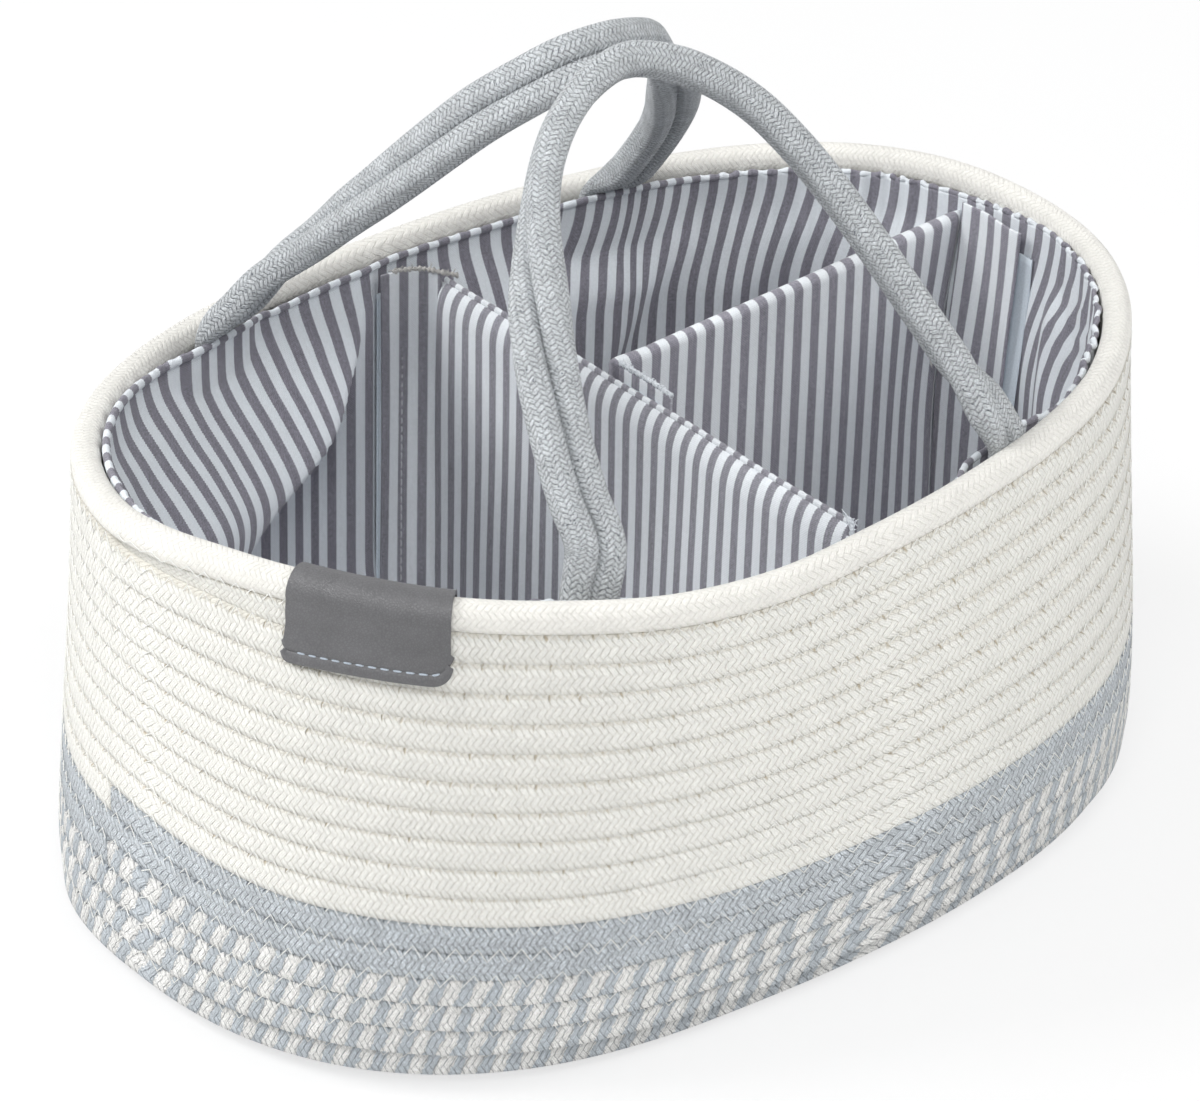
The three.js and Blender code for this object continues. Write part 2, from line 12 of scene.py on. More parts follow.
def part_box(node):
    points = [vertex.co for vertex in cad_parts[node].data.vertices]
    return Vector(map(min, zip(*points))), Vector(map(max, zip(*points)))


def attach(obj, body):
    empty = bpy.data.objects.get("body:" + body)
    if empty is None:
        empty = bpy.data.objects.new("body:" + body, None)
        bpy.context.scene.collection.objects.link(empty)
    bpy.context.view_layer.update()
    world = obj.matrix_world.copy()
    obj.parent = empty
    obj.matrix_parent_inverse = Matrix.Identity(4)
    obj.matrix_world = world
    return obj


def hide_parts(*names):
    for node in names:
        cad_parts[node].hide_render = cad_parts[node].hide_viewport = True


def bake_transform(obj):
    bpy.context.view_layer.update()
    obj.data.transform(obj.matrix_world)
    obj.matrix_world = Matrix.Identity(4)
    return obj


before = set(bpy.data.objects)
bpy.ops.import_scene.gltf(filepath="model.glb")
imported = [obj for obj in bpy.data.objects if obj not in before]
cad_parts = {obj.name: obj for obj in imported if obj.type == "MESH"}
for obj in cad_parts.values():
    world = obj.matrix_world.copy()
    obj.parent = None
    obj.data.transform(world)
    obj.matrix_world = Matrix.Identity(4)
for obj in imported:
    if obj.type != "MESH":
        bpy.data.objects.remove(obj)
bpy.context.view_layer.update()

MM = 0.001
TURN = 2 * math.pi
ALONG, ACROSS, UP = np.eye(3)

# The photograph's frame in pixels, and the width of the film behind the lens in millimetres
PHOTO_WIDTH, PHOTO_HEIGHT, FILM = 1200, 1101, 36.0

# Wall line of the basket between rope centres, in millimetres, as in the solid model
RIM_LENGTH, RIM_WIDTH, RIM_LEVEL, FLOOR_LEVEL = 371.6, 257.0, 160.0, 3.65
FOOT_FLARE, END_WAIST, SIDE_BELLY, RIM_DIP = 6.0, 4.2, 12.0, 5.2
FOOT_POWER, RIM_POWER, BELLY_SHARE = 2.48, 2.26, 0.8
JOINT_ANGLE = math.radians(174)
WALL_TURNS, FLOOR_TURNS, FLOOR_SPACING = 16, 11.79, 10.1
# The coil's levels and how far it lies inside the wall line, by its turns: two courses of foot, then even rows
COIL_TURNS, ROW = [0, 1, 2, 2.001, 18], 9.882
COIL_LEVELS, COIL_INSETS = [FLOOR_LEVEL, 11.15, 21.65, 21.66, 21.65 + 16 * ROW], [8.8, 1.5, 0]
# The rim rope falls over the coil's tapered end: where the fall ends, how long it is and where the rope is joined,
# in turns, and half the gap at a joint
FALL_END, FALL, RIM_JOINT, JOINT_GAP = 0.055, 0.166, 0.893, 0.0002
# Pattern lengths of the wall rope along one turn and half way round it, and stitches in a turn of its seam
TURN_LENGTH, HALF_ROUND, SEAM_STITCHES = 1050.0, 16.2, 140
# Half width of the wall rope, how far its tapered end sinks, and half thickness of the seam thread, in millimetres
ROPE_HALF, ROPE_SINK, THREAD_HALF = 4.95, 4.9, 0.2
# Places of a zigzag seam's stitches: lower end, middle, upper end, middle
ZIGZAG = np.array([-1.0, 0.0, 1.0, 0.0])

# How far the wall stands out of its line, in millimetres, at the foot, a third of the way up and at the rim
SWELL_ANGLES = np.radians(np.arange(-208, -27, 12))
SWELL = np.array([[0, 2.5, 1.5, 0, -0.5, 0.7, 1.9, 2.3, 1.5, 0, 1.8, 1.7, 2.8, 3.5, 1.5, 0],
                  [0, 2.0, 2.5, 4, 5, 3.5, 2.6, 2.0, 0, -0.5, -0.5, -0.5, 0.2, 1, 1, 0],
                  [0, 0, 1.5, -4.5, -5, -3.6, -2.2, -0.2, 4.5, 4.5, -1, -3.2, -2.1, 0, 0, 0]])
# Share of the wall's height at the middle row
SWELL_THIRD = 0.35

# The lining's plan, in millimetres, its foot, the level that its folds are measured down from, and its floor
LINING_HALF_LENGTH, LINING_HALF_WIDTH, LINING_FOOT, FOLD_LEVEL, LINING_FLOOR = 179.6, 121.6, 10.6, 162, 10.4
LINING_COLUMNS = 520
# Handle feet along X and their side, the room the lining leaves over them and its lift at the rear ones
FEET = [(-100.3, -1), (75.7, -1), (-86.0, 1), (90.0, 1)]
FOOT_ROOM, FOOT_LIFT = 7.2, 4.5
# How far the hem lies above the middle of the rim rope, in millimetres
HEM_ANGLES = np.radians([-208, -198, -180, -160, -60, -42, -30, -20, -12, -5, 0, 5, 12, 20, 40, 80, 88, 93, 105,
                         117, 122, 128, 135, 142, 152])
HEM_LIFT = [3.2, 1.6, -1, -4, -4, 0.5, 1.6, 0.8, 0.2, -0.8, -2.2, -3.6, -3.6, -2.6, -2.2, -2.2, -1.2, -0.6, -1.8,
            -2.4, -0.8, 1, 2.6, 3.4, 3.2]
# The lining's stripes, 9.6 mm apart: their number at places along the hem, in millimetres from the joint
LINING_PITCH = 9.6
STRIPE_PLACES = [0, 112, 216.7, 305.8, 320.2, 330.5, 379.3, 439.1, 463.4]
STRIPE_NUMBERS = [-10.5, 0.25, 11.25, 21.25, 23.25, 25.25, 32.25, 40.25, 43.25, 102.5]
# The fold that hangs over at the rear left, by its depth: place of its edge along X and how far it stands inward
FOLD_DEPTH = np.arange(0, 101, 2.0)
FOLD_DEPTHS = [0, 10, 26, 37, 48, 55, 65, 75, 100]
FOLD_EDGE = [-4, -6, -13, -23, -32, -42, -70, -83, -100]
FOLD_STAND = [0.5, 3, 8.5, 15, 20, 24, 25, 23, 15]

# Handles: half the distance between the feet, how far the hinges and the sewn ends lie inside the rim, half sizes
# of the rim and handle ropes, the hinge's height over both, and the shape of the rope's section
HALF_SPAN, HINGE_INSIDE, END_INSIDE = 88.0, 11.7, 9.2
RIM_HALF, HANDLE_HALF, HINGE_GAP, HANDLE_POWER = 4.55, 5.1, 1.5, 2.7
# Half the distance between a handle's two ropes, and the pattern length round one of them
HALF_APART, HANDLE_ROUND = 4.85, 33.3
# Middle line of each handle, in millimetres along and above the line between its hinges, in its leaning plane
FRONT_ARCH = [(-79.7, 4.8), (-79.2, 20.7), (-78, 33.6), (-75.7, 48.4), (-71.1, 67.9), (-64.6, 86.8), (-56.2, 105),
              (-45.2, 121.8), (-34, 132.8), (-20, 141), (-5, 144.6), (12, 139.5), (25, 130.5), (35.6, 119.3),
              (45.7, 102), (53.2, 83.6), (59.5, 64.6), (65.3, 45.4), (69.5, 31), (73.3, 18.6), (77.6, 5.5)]
REAR_ARCH = [(-86.4, 0), (-82.9, 12.9), (-75.4, 26.7), (-66.5, 41.5), (-61.5, 59.1), (-55.1, 74.9), (-50.1, 89.1),
             (-45.2, 103.2), (-37.7, 119.9), (-24.1, 132.8), (-15.2, 139), (0.6, 140.4), (25.3, 131.3),
             (45.1, 112.1), (64, 88.2), (74.5, 68.2), (82, 53), (86, 41.2), (87.3, 25.8), (87.2, 8.3)]
# How far the legs lie inward of that plane, in millimetres, at the same points
FRONT_LEAVE = [0] * 21
REAR_LEAVE = [4.5, 3.8, 0.7] + [0] * 13 + [0.5, 1.2, 3.0, 4.5]

# Divider covers: length, height and half thickness, in millimetres, and where they stand
CROSS_LENGTH, CROSS_HEIGHT, CROSS_X, CROSS_Y = 209.4, 141.5, 12.2, 2.1
LONG_LENGTH, LONG_HEIGHT, LONG_START, LONG_Y = 156.5, 140.5, 19.6, 22.0
HALF_COVER, COVER_FOOT = 3.0, 10.0

# Flaps: their foot, and the plan path of each along X and Y, in millimetres
FLAP_FOOT = 17.5
REAR_FLAP = [(11.4, 105.5), (10.6, 108.0), (8.4, 110.4), (5.4, 112.6), (1.8, 114.6), (-2.0, 115.9), (-6.5, 116.3)]
FRONT_FLAP = [(9.8, -103.6), (9.8, -108.5), (9.2, -113.7), (6.0, -114.6), (-3.0, -114.7), (-10.0, -114.6),
              (-16.4, -114.6)]
LEFT_FLAP = [(18.65, 18.5), (18.65, 14.0), (18.6, 5.0), (18.65, -3.0), (18.65, -8.3)]
RIGHT_FLAP = [(170.9, 18.5), (170.9, 14.0), (170.8, 5.0), (170.8, -3.0), (170.8, -11.3)]

# Hook and loop strips: node, plan corners along X and Y, foot, top, body and lean of the upper half along X
TAPES = [
    ("cross_divider_rear_hook_strip", (-6.2, 6.25), (117.2, 118.1), 22.5, 144, "cross_rear_flap", 0),
    ("lining_rear_loop_strip", (-6.4, 8.75), (118.5, 119.4), 17.5, 146, "basket", 0),
    ("cross_divider_front_hook_strip", (-13.75, 6.25), (-116.5, -115.6), 22.5, 144, "cross_front_flap", 0),
    ("lining_front_loop_strip", (-16.25, 8.75), (-117.8, -116.9), 17.5, 146, "basket", 0),
    ("long_divider_left_hook_strip", (16.8, 17.8), (-4.9, 15.1), 22.5, 149, "long_left_flap", 0),
    ("cross_divider_loop_strip", (15.5, 16.5), (-7.4, 17.6), 17.5, 146, "cross_divider", 0),
    ("long_divider_right_hook_strip", (171.7, 172.6), (-4.9, 15.1), 22.5, 157.5, "long_right_flap", 4.6),
    ("lining_right_loop_strip", (173.0, 173.9), (-15.4, 6.6), 17.5, 156.5, "basket", 4.6)]

# Frayed edges: name, points, body, yarn, reach of the loose ends, seed of their table and their spacing
RAW_EDGES = [
    ("rear_flap_raw_edge", [(16.5, 102.5, 153.0), (11.4, 105.5, 154.6), (8.4, 110.4, 154.8), (1.8, 114.6, 154.8),
                            (-2.0, 115.9, 154.8)], "cross_rear_flap", "raw", 2.8, 4, 0.7),
    ("left_flap_raw_edge", [(18.3, 18.0, 155.2), (18.5, 8.0, 155.0), (18.6, 0.0, 154.8), (18.7, -8.2, 154.0)],
     "long_left_flap", "pale", 2.4, 7, 0.2),
    ("cross_divider_raw_corner", [(14.2, -100.5, 151.6), (13.8, -102.5, 151.2), (13.0, -103.8, 149.5),
                                  (12.2, -104.2, 146.0)], "cross_divider", "pale", 4.0, 11, 0.3)]

# Leather patch: its two sides in degrees round the wall, its width, drop below the rim and thickness, in millimetres,
# and the height of its stitches over its lower edge
PATCH_RIGHT, PATCH_LEFT, PATCH_WIDTH, PATCH_DROP, PATCH_THICKNESS = -137.2, -158.6, 54.4, 22.0, 1.4
STITCH_HEIGHT, CORNER_RIGHT, CORNER_LEFT = 3.5, 5.5, 2.5

# Lamps: name, place in metres and watts. All are round and 1.5 m across
LAMPS = [("key", (-1.8, 1.4, 2.2), 58.0), ("front", (-1.6, -1.6, 2.6), 43.0), ("fill", (1.8, -1.5, 2.0), 26.0)]
LAMP_SIZE, AMBIENT = 1.5, 0.36


def camera():
    """A long lens at the photograph's viewing angle, from the left of the front and above."""
    azimuth, elevation, roll = (math.radians(v) for v in (-40.96, 31.48, 1.65))
    distance, focal, across, down = 1800.75, 5320.42, 607.91, 580.82
    sight = Vector((0, 0, 85))
    level = math.cos(elevation)
    back = Vector((math.sin(azimuth) * level, -math.cos(azimuth) * level, math.sin(elevation)))
    right = (-back).cross(Vector(UP)).normalized()
    up = right.cross(-back)
    right, up = right * math.cos(roll) + up * math.sin(roll), up * math.cos(roll) - right * math.sin(roll)
    data = bpy.data.cameras.new("photo_camera")
    data.sensor_width = FILM
    data.lens = focal / PHOTO_WIDTH * FILM
    data.shift_x = (PHOTO_WIDTH / 2 - across) / PHOTO_WIDTH
    data.shift_y = (down - PHOTO_HEIGHT / 2) / PHOTO_WIDTH
    data.clip_end = 20.0
    shot = bpy.data.objects.new("photo_camera", data)
    place = Matrix((right, up, back)).transposed().to_4x4()
    place.translation = (sight + back * distance) * MM
    shot.matrix_world = place
    bpy.context.collection.objects.link(shot)
    bpy.context.scene.camera = shot


# ---- shapes of the basket ----

def smooth(value, low, high):
    """Smooth step from 0 at low to 1 at high."""
    share = np.clip((value - low) / (high - low), 0, 1)
    return share * share * (3 - 2 * share)


def unit(vectors):
    """Vectors scaled to length one."""
    return vectors / np.maximum(np.linalg.norm(vectors, axis=-1, keepdims=True), 1e-9)


def running_length(steps):
    """Length walked at each point of a line, from the lengths of its steps."""
    return np.concatenate([[0], np.cumsum(steps)])


def height_share(height):
    """Share of the wall's height, from 0 at the floor to 1 at the rim."""
    return (height - FLOOR_LEVEL) / (RIM_LEVEL - FLOOR_LEVEL)


def wall_oval(height):
    """Half length, half width and power of the wall line at a height: a square for the flare at the foot, a sine
    for the waist at the ends and a skewed sine for the belly at the sides."""
    share = np.clip(height_share(height), 0, 1)
    half_length = RIM_LENGTH / 2 + FOOT_FLARE * (1 - share) ** 2 - END_WAIST * np.sin(np.pi * share)
    half_width = RIM_WIDTH / 2 + SIDE_BELLY * np.sin(np.pi * share ** BELLY_SHARE)
    return half_length, half_width, FOOT_POWER + (RIM_POWER - FOOT_POWER) * share


def oval_point(angle, half_length, half_width, power):
    """Point of a superellipse at an angle: each axis is the signed cosine or sine to the power two over n."""
    cos, sin = np.cos(angle), np.sin(angle)
    x = np.sign(cos) * np.abs(cos) ** (2 / power) * half_length
    y = np.sign(sin) * np.abs(sin) ** (2 / power) * half_width
    return x, y


def oval_normal(x, y, half_length, half_width, power):
    """Level direction out of a superellipse at a point: the gradient of its equation."""
    across = np.sign(x) * np.abs(x / half_length) ** (power - 1) / half_length
    along = np.sign(y) * np.abs(y / half_width) ** (power - 1) / half_width
    length = np.maximum(np.hypot(across, along), 1e-9)
    return across / length, along / length


def round_table(angle, angles, values):
    """Value at an angle from a periodic table, whose corners are rounded by a bell-shaped average over 14 degrees."""
    fine = np.radians(np.arange(-208, 152, 2.0))
    kernel = np.hanning(9) / np.hanning(9).sum()
    row = np.interp(fine, angles, values)
    row = np.convolve(np.concatenate([row[-4:], row, row[:4]]), kernel, "valid")
    return np.interp(np.mod(angle - fine[0], TURN) + fine[0], fine, row, period=TURN)


def swell(angle, height):
    """Outward stand of the wall: a parabola in height through its values at three heights, each periodic in angle."""
    share = np.clip(height_share(height), 0, 1)
    foot, mid, rim = (round_table(angle, SWELL_ANGLES, row) for row in SWELL)
    low, high = share - SWELL_THIRD, share - 1
    return (foot * low * high / SWELL_THIRD + mid * share * high / (SWELL_THIRD * (SWELL_THIRD - 1))
            + rim * share * low / (1 - SWELL_THIRD))


def course(turns):
    """Height of the coil, and how far it lies inside the wall line, after a number of turns of the wall."""
    return np.interp(turns, COIL_TURNS, COIL_LEVELS), np.interp(turns, COIL_TURNS[:3], COIL_INSETS)


def dip(angle, height):
    """The ends stand higher than the long sides: a cosine of twice the angle that grows with the height."""
    return RIM_DIP * np.cos(2 * angle) * height_share(height)


def wall_point(angle, height, inset):
    """Point of the wall at an angle and a height: the wall line's plain point moved out by the swell, its level
    changed by the dip. Gives the point, the plain x and the half sizes of the wall line."""
    half_length, half_width, power = wall_oval(height)
    oval = (half_length - inset, half_width - inset, power)
    x, y = oval_point(angle, *oval)
    normal_x, normal_y = oval_normal(x, y, *oval)
    out = swell(angle, height)
    return (x + normal_x * out, y + normal_y * out, height + dip(angle, height)), x, half_length, half_width


def coil_point(turns):
    """Centre of the coil. Floor turns are the wall's first turn drawn in towards a straight core."""
    turns = np.asarray(turns, float)
    height, inset = course(turns)
    (x, y, level), plain_x, half_length, half_width = wall_point(JOINT_ANGLE - TURN * turns, height, inset)
    core = np.clip(plain_x, half_width - half_length, half_length - half_width)
    share = np.clip(-turns * FLOOR_SPACING / (half_width - inset), 0, 1)
    return np.stack([x + (core - x) * share, y * (1 - share), level], -1)


def rim_height(turns):
    """The rim rope rests on the last course and falls over its tapered end within a sixth of a turn, by a smooth
    step."""
    phase = np.mod(turns, 1)
    start = 1 + FALL_END - FALL
    along = (np.where(phase < FALL_END, phase + 1, phase) - start) / FALL
    high, low = course(WALL_TURNS + start)[0], course(WALL_TURNS + FALL_END)[0]
    falling = high + (low - high) * smooth(along, 0, 1)
    return np.where((phase >= FALL_END) & (phase <= start), course(WALL_TURNS + phase)[0], falling)


def rim_point(turns):
    """Centre of the rim rope."""
    turns = np.asarray(turns, float)
    return np.stack(wall_point(JOINT_ANGLE - TURN * turns, rim_height(turns), 0.0)[0], -1)


def flat_outward(path):
    """Level direction to the left of a path's travel, which on the clockwise coil points out of the basket."""
    along = np.gradient(path, axis=0)
    return unit(np.stack([-along[:, 1], along[:, 0], np.zeros(len(path))], -1))


def tube(path, wide, tall, half_wide, half_tall, sides, power=2.0, start=0.0):
    """Rings along a path. A ring is a superellipse: signed cosine and sine to the power two over n, along two
    directions, with its points evenly spaced."""
    across, over = oval_point(start + np.linspace(0, TURN, 721), 1.0, 1.0, power)
    walk = running_length(np.hypot(np.diff(across), np.diff(over)))
    step = np.arange(sides) * walk[-1] / sides
    rings = path[:, None]
    for way, half, form in ((wide, half_wide, across), (tall, half_tall, over)):
        half = np.broadcast_to(np.asarray(half, float), path.shape[:1])[:, None] * np.interp(step, walk, form)
        rings = rings + np.broadcast_to(way, path.shape)[:, None] * half[..., None]
    return rings


def thread_rings(path, high, half_wide, half_tall, sides=4):
    """Rings of a thread along a path on a surface, from the direction that points out of the surface."""
    return tube(path, high, np.cross(unit(np.gradient(path, axis=0)), high), half_wide, half_tall, sides)


def grid_uv(rows, columns):
    """Pattern coordinates in millimetres for a grid: one value per row and one per column."""
    return np.stack(np.broadcast_arrays(np.asarray(rows)[:, None], np.asarray(columns)[None]), -1)


def signed_volume(mesh):
    """Volume inside a mesh, positive where its faces point outwards."""
    work = bmesh.new()
    work.from_mesh(mesh)
    volume = work.calc_volume(signed=True)
    work.free()
    return volume


def new_piece(name, points, faces, marks, look):
    """Smooth object from points in millimetres and faces, with the pattern coordinates of every corner."""
    mesh = bpy.data.meshes.new(name)
    mesh.from_pydata((points * MM).tolist(), [], faces)
    if callable(marks):
        corners = np.empty(len(mesh.loops), np.int32)
        mesh.loops.foreach_get("vertex_index", corners)
        marks = marks(corners)
    mesh.uv_layers.new(name="weave").data.foreach_set("uv", marks.astype(np.float32).ravel())
    mesh.polygons.foreach_set("use_smooth", np.ones(len(mesh.polygons), bool))
    mesh.materials.append(look)
    mesh.update()
    piece = bpy.data.objects.new(name, mesh)
    bpy.context.collection.objects.link(piece)
    return piece


def surface(name, grids, look, body="basket", wrap=(False, True), caps=True):
    """Mesh from grids of points in millimetres, each with its pattern coordinates. A grid may close on itself in
    either direction, and then its coordinates have one more row or column than its points."""
    points, quads, ends, marks, end_marks, total = [], [], [], [], [], 0
    for grid, uv in grids:
        rows, columns = grid.shape[:2]
        down, across = (rows if wrap[0] else rows - 1), (columns if wrap[1] else columns - 1)
        i, j = np.meshgrid(np.arange(down), np.arange(across), indexing="ij")
        near, far = (i + 1) % rows * columns, (j + 1) % columns
        quads.append(total + np.stack([i * columns + j, i * columns + far, near + far, near + j], -1).reshape(-1, 4))
        marks.append(np.stack([uv[i, j], uv[i, j + 1], uv[i + 1, j + 1], uv[i + 1, j]], 2).reshape(-1, 2))
        if caps:
            first, last = np.arange(columns)[::-1], (rows - 1) * columns + np.arange(columns)
            ends += [(total + first).tolist(), (total + last).tolist()]
            end_marks += [uv[0, :columns][::-1], uv[-1, :columns]]
        points.append(grid.reshape(-1, 3))
        total += rows * columns
    faces = np.concatenate(quads).tolist() + ends
    piece = new_piece(name, np.concatenate(points), faces, np.concatenate(marks + end_marks), look)
    if signed_volume(piece.data) < 0:
        piece.data.flip_normals()
    if body:
        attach(piece, body)
    return piece


def thicken(piece, thickness, offset=0.0, bevel=0.0):
    """Gives a sheet its thickness in millimetres, and rounded edges where asked, and applies both."""
    wall = piece.modifiers.new("thickness", "SOLIDIFY")
    wall.thickness, wall.offset = thickness * MM, offset
    if bevel:
        edge = piece.modifiers.new("edge", "BEVEL")
        edge.width, edge.segments, edge.limit_method, edge.angle_limit = bevel * MM, 2, "ANGLE", math.radians(50)
    bpy.context.view_layer.update()
    baked = bpy.data.meshes.new_from_object(piece.evaluated_get(bpy.context.evaluated_depsgraph_get()))
    piece.modifiers.clear()
    piece.data = baked


# ---- materials ----

def colour(text):
    """sRGB hex colour as linear values."""
    values = [int(text[k:k + 2], 16) / 255 for k in (0, 2, 4)]
    return [v / 12.92 if v <= 0.04045 else ((v + 0.055) / 1.055) ** 2.4 for v in values] + [1.0]


def add_node(tree, kind, *inputs, out=0, named=None, **settings):
    """Adds a node by its kind, with its operation after a space where it has one. Makes its settings, links or sets
    its inputs in order and by name, and gives one output."""
    kind, *operation = kind.split()
    node = tree.nodes.new("ShaderNode" + kind)
    for key, value in [*settings.items(), *(("operation", word) for word in operation)]:
        setattr(node, key, value)
    for key, value in [*enumerate(inputs), *(named or {}).items()]:
        if isinstance(value, bpy.types.NodeSocket):
            tree.links.new(value, node.inputs[key])
        elif value is not None:
            node.inputs[key].default_value = value
    return node.outputs[out] if len(node.outputs) else node


def material(name):
    """New material without nodes, and the function that adds a node to it."""
    look = bpy.data.materials.new(name)
    look.use_nodes = True
    look.node_tree.nodes.clear()
    return look, functools.partial(add_node, look.node_tree)


def dress(add, tone, roughness, sheen, relief=None, depth=0.0, strength=1.0):
    """Ends a material with its shader: colour, roughness, sheen, and where asked a relief of a depth in
    millimetres."""
    bump = add("Bump", named={"Height": relief, "Distance": depth * MM, "Strength": strength}) if relief else None
    shader = add("BsdfPrincipled", named={"Base Color": tone, "Roughness": roughness, "Sheen Weight": sheen,
                                          "Sheen Roughness": 0.5, "Normal": bump})
    add("OutputMaterial", shader)
    return shader


def braid(add, strand, slope, stir):
    """Maypole braid in pattern coordinates, in millimetres. Two families of strands cross at p = (u + kv) / s and
    q = (u - kv) / s, and pass over each other by the difference of their numbers modulo four, so that floats of one
    family stand in columns along the rope. Gives the height, the number of the strand on top, which family it is,
    the place across it and along its float, and the pattern coordinates. A noise stirs the strands by a few tenths of
    a millimetre, as hand-fed braid has it."""
    uv = add("UVMap", uv_map="weave")
    parts = add("SeparateXYZ", uv).node.outputs
    noise = add("TexNoise", add("TexCoord", out=3), None, 420.0, 2.0, 0.6, out=1)
    stirred = add("VectorMath MULTIPLY_ADD", noise, (2 * stir, 2 * stir, 0.0), uv)
    strands = add("SeparateXYZ", stirred).node.outputs
    lift = add("Math MULTIPLY", strands[1], slope)
    p = add("Math DIVIDE", add("Math ADD", strands[0], lift), strand)
    q = add("Math DIVIDE", add("Math SUBTRACT", strands[0], lift), strand)
    i, j = add("Math FLOOR", p), add("Math FLOOR", q)
    order = add("Math FLOORED_MODULO", add("Math SUBTRACT", i, j), 4.0)
    rising = add("Math LESS_THAN", order, 1.5)
    across = add("Mix", rising, None, add("Math SUBTRACT", q, j), add("Math SUBTRACT", p, i))
    floats = []
    for other, own, shift in ((p, j, -2.0), (q, i, 1.0)):
        run = add("Math ADD", add("Math SUBTRACT", other, own), shift)
        floats.append(add("Math MULTIPLY", add("Math FLOORED_MODULO", run, 4.0), 0.5))
    along = add("Mix", rising, None, *floats)
    number = add("Mix", rising, None, j, i)
    crown, swelling = (add("Math SINE", add("Math MULTIPLY", part, math.pi)) for part in (across, along))
    crown = add("Math POWER", crown, 0.5, use_clamp=True)
    swelling = add("Math MULTIPLY_ADD", swelling, 0.45, 0.55)
    return add("Math MULTIPLY", crown, swelling), number, rising, across, along, parts


def seam_notches(add, parts, place):
    """Notches where the wall's seam thread bites: every 7.5 mm along the rope, 1 mm wide and 3.4 mm tall, in the
    upper edge of a course, some deeper than others. The place along is stirred by a noise. The notches dent the
    rope's relief and carry painted shade in its colour."""
    spacing, level = 7.5, 4.6
    stir = add("TexNoise", place, None, 110.0, 2.0, 0.6)
    along = add("Math MULTIPLY_ADD", stir, 5.0, parts[0])
    phase = add("Math FRACT", add("Math MULTIPLY_ADD", along, 1 / spacing, 0.3))
    near = add("Math MULTIPLY_ADD", phase, spacing, -spacing / 2)
    away = add("Math MULTIPLY", add("Math ADD", parts[1], -level), 0.3)
    spot = add("VectorMath LENGTH", add("CombineXYZ", near, away), out=1)
    bite = add("MapRange", spot, 0.1, 0.6, 1.0, 0.0, interpolation_type="SMOOTHSTEP")
    depth = add("MapRange", add("TexNoise", place, None, 140.0, 1.0), 0.4, 0.6, 0.25, 1.0)
    return add("Math MULTIPLY", bite, depth)


def marl(add, parts, place):
    """Rope laid of white and grey strands: white tufts every 9.92 mm, leaning along the rope. A tuft is where the
    square of the place along plus the fourth power of the place across, each as a share of its half size, stays
    under one; a coarse and a fine noise fray it. Gives the white share and the crown of each tuft."""
    spacing, half_share, half_across = 9.92, 0.27, 5.6
    ragged = add("TexNoise", place, None, 260.0, 2.0, 0.6)
    hairy = add("TexNoise", place, None, 1100.0, 2.0, 0.6)
    shift = add("Math MULTIPLY_ADD", ragged, 3.0, parts[0])
    along = add("Math MULTIPLY_ADD", parts[1], 0.55, shift)
    phase = add("Math FRACT", add("Math MULTIPLY", along, 1 / spacing))
    near = add("Math MULTIPLY_ADD", phase, 1 / half_share, -0.5 / half_share)
    near = add("Math MULTIPLY", near, near)
    away = add("Math MULTIPLY", parts[1], 1 / half_across)
    away = add("Math POWER", add("Math MULTIPLY", away, away), 2.0)
    frayed = add("Math MULTIPLY_ADD", hairy, 1.1, add("Math ADD", near, away))
    white = add("MapRange", frayed, 1.45, 1.75, 1.0, 0.0)
    crown = add("Math ABSOLUTE", add("Math COSINE", add("Math MULTIPLY", phase, TURN)))
    return white, add("Math POWER", crown, 0.6)


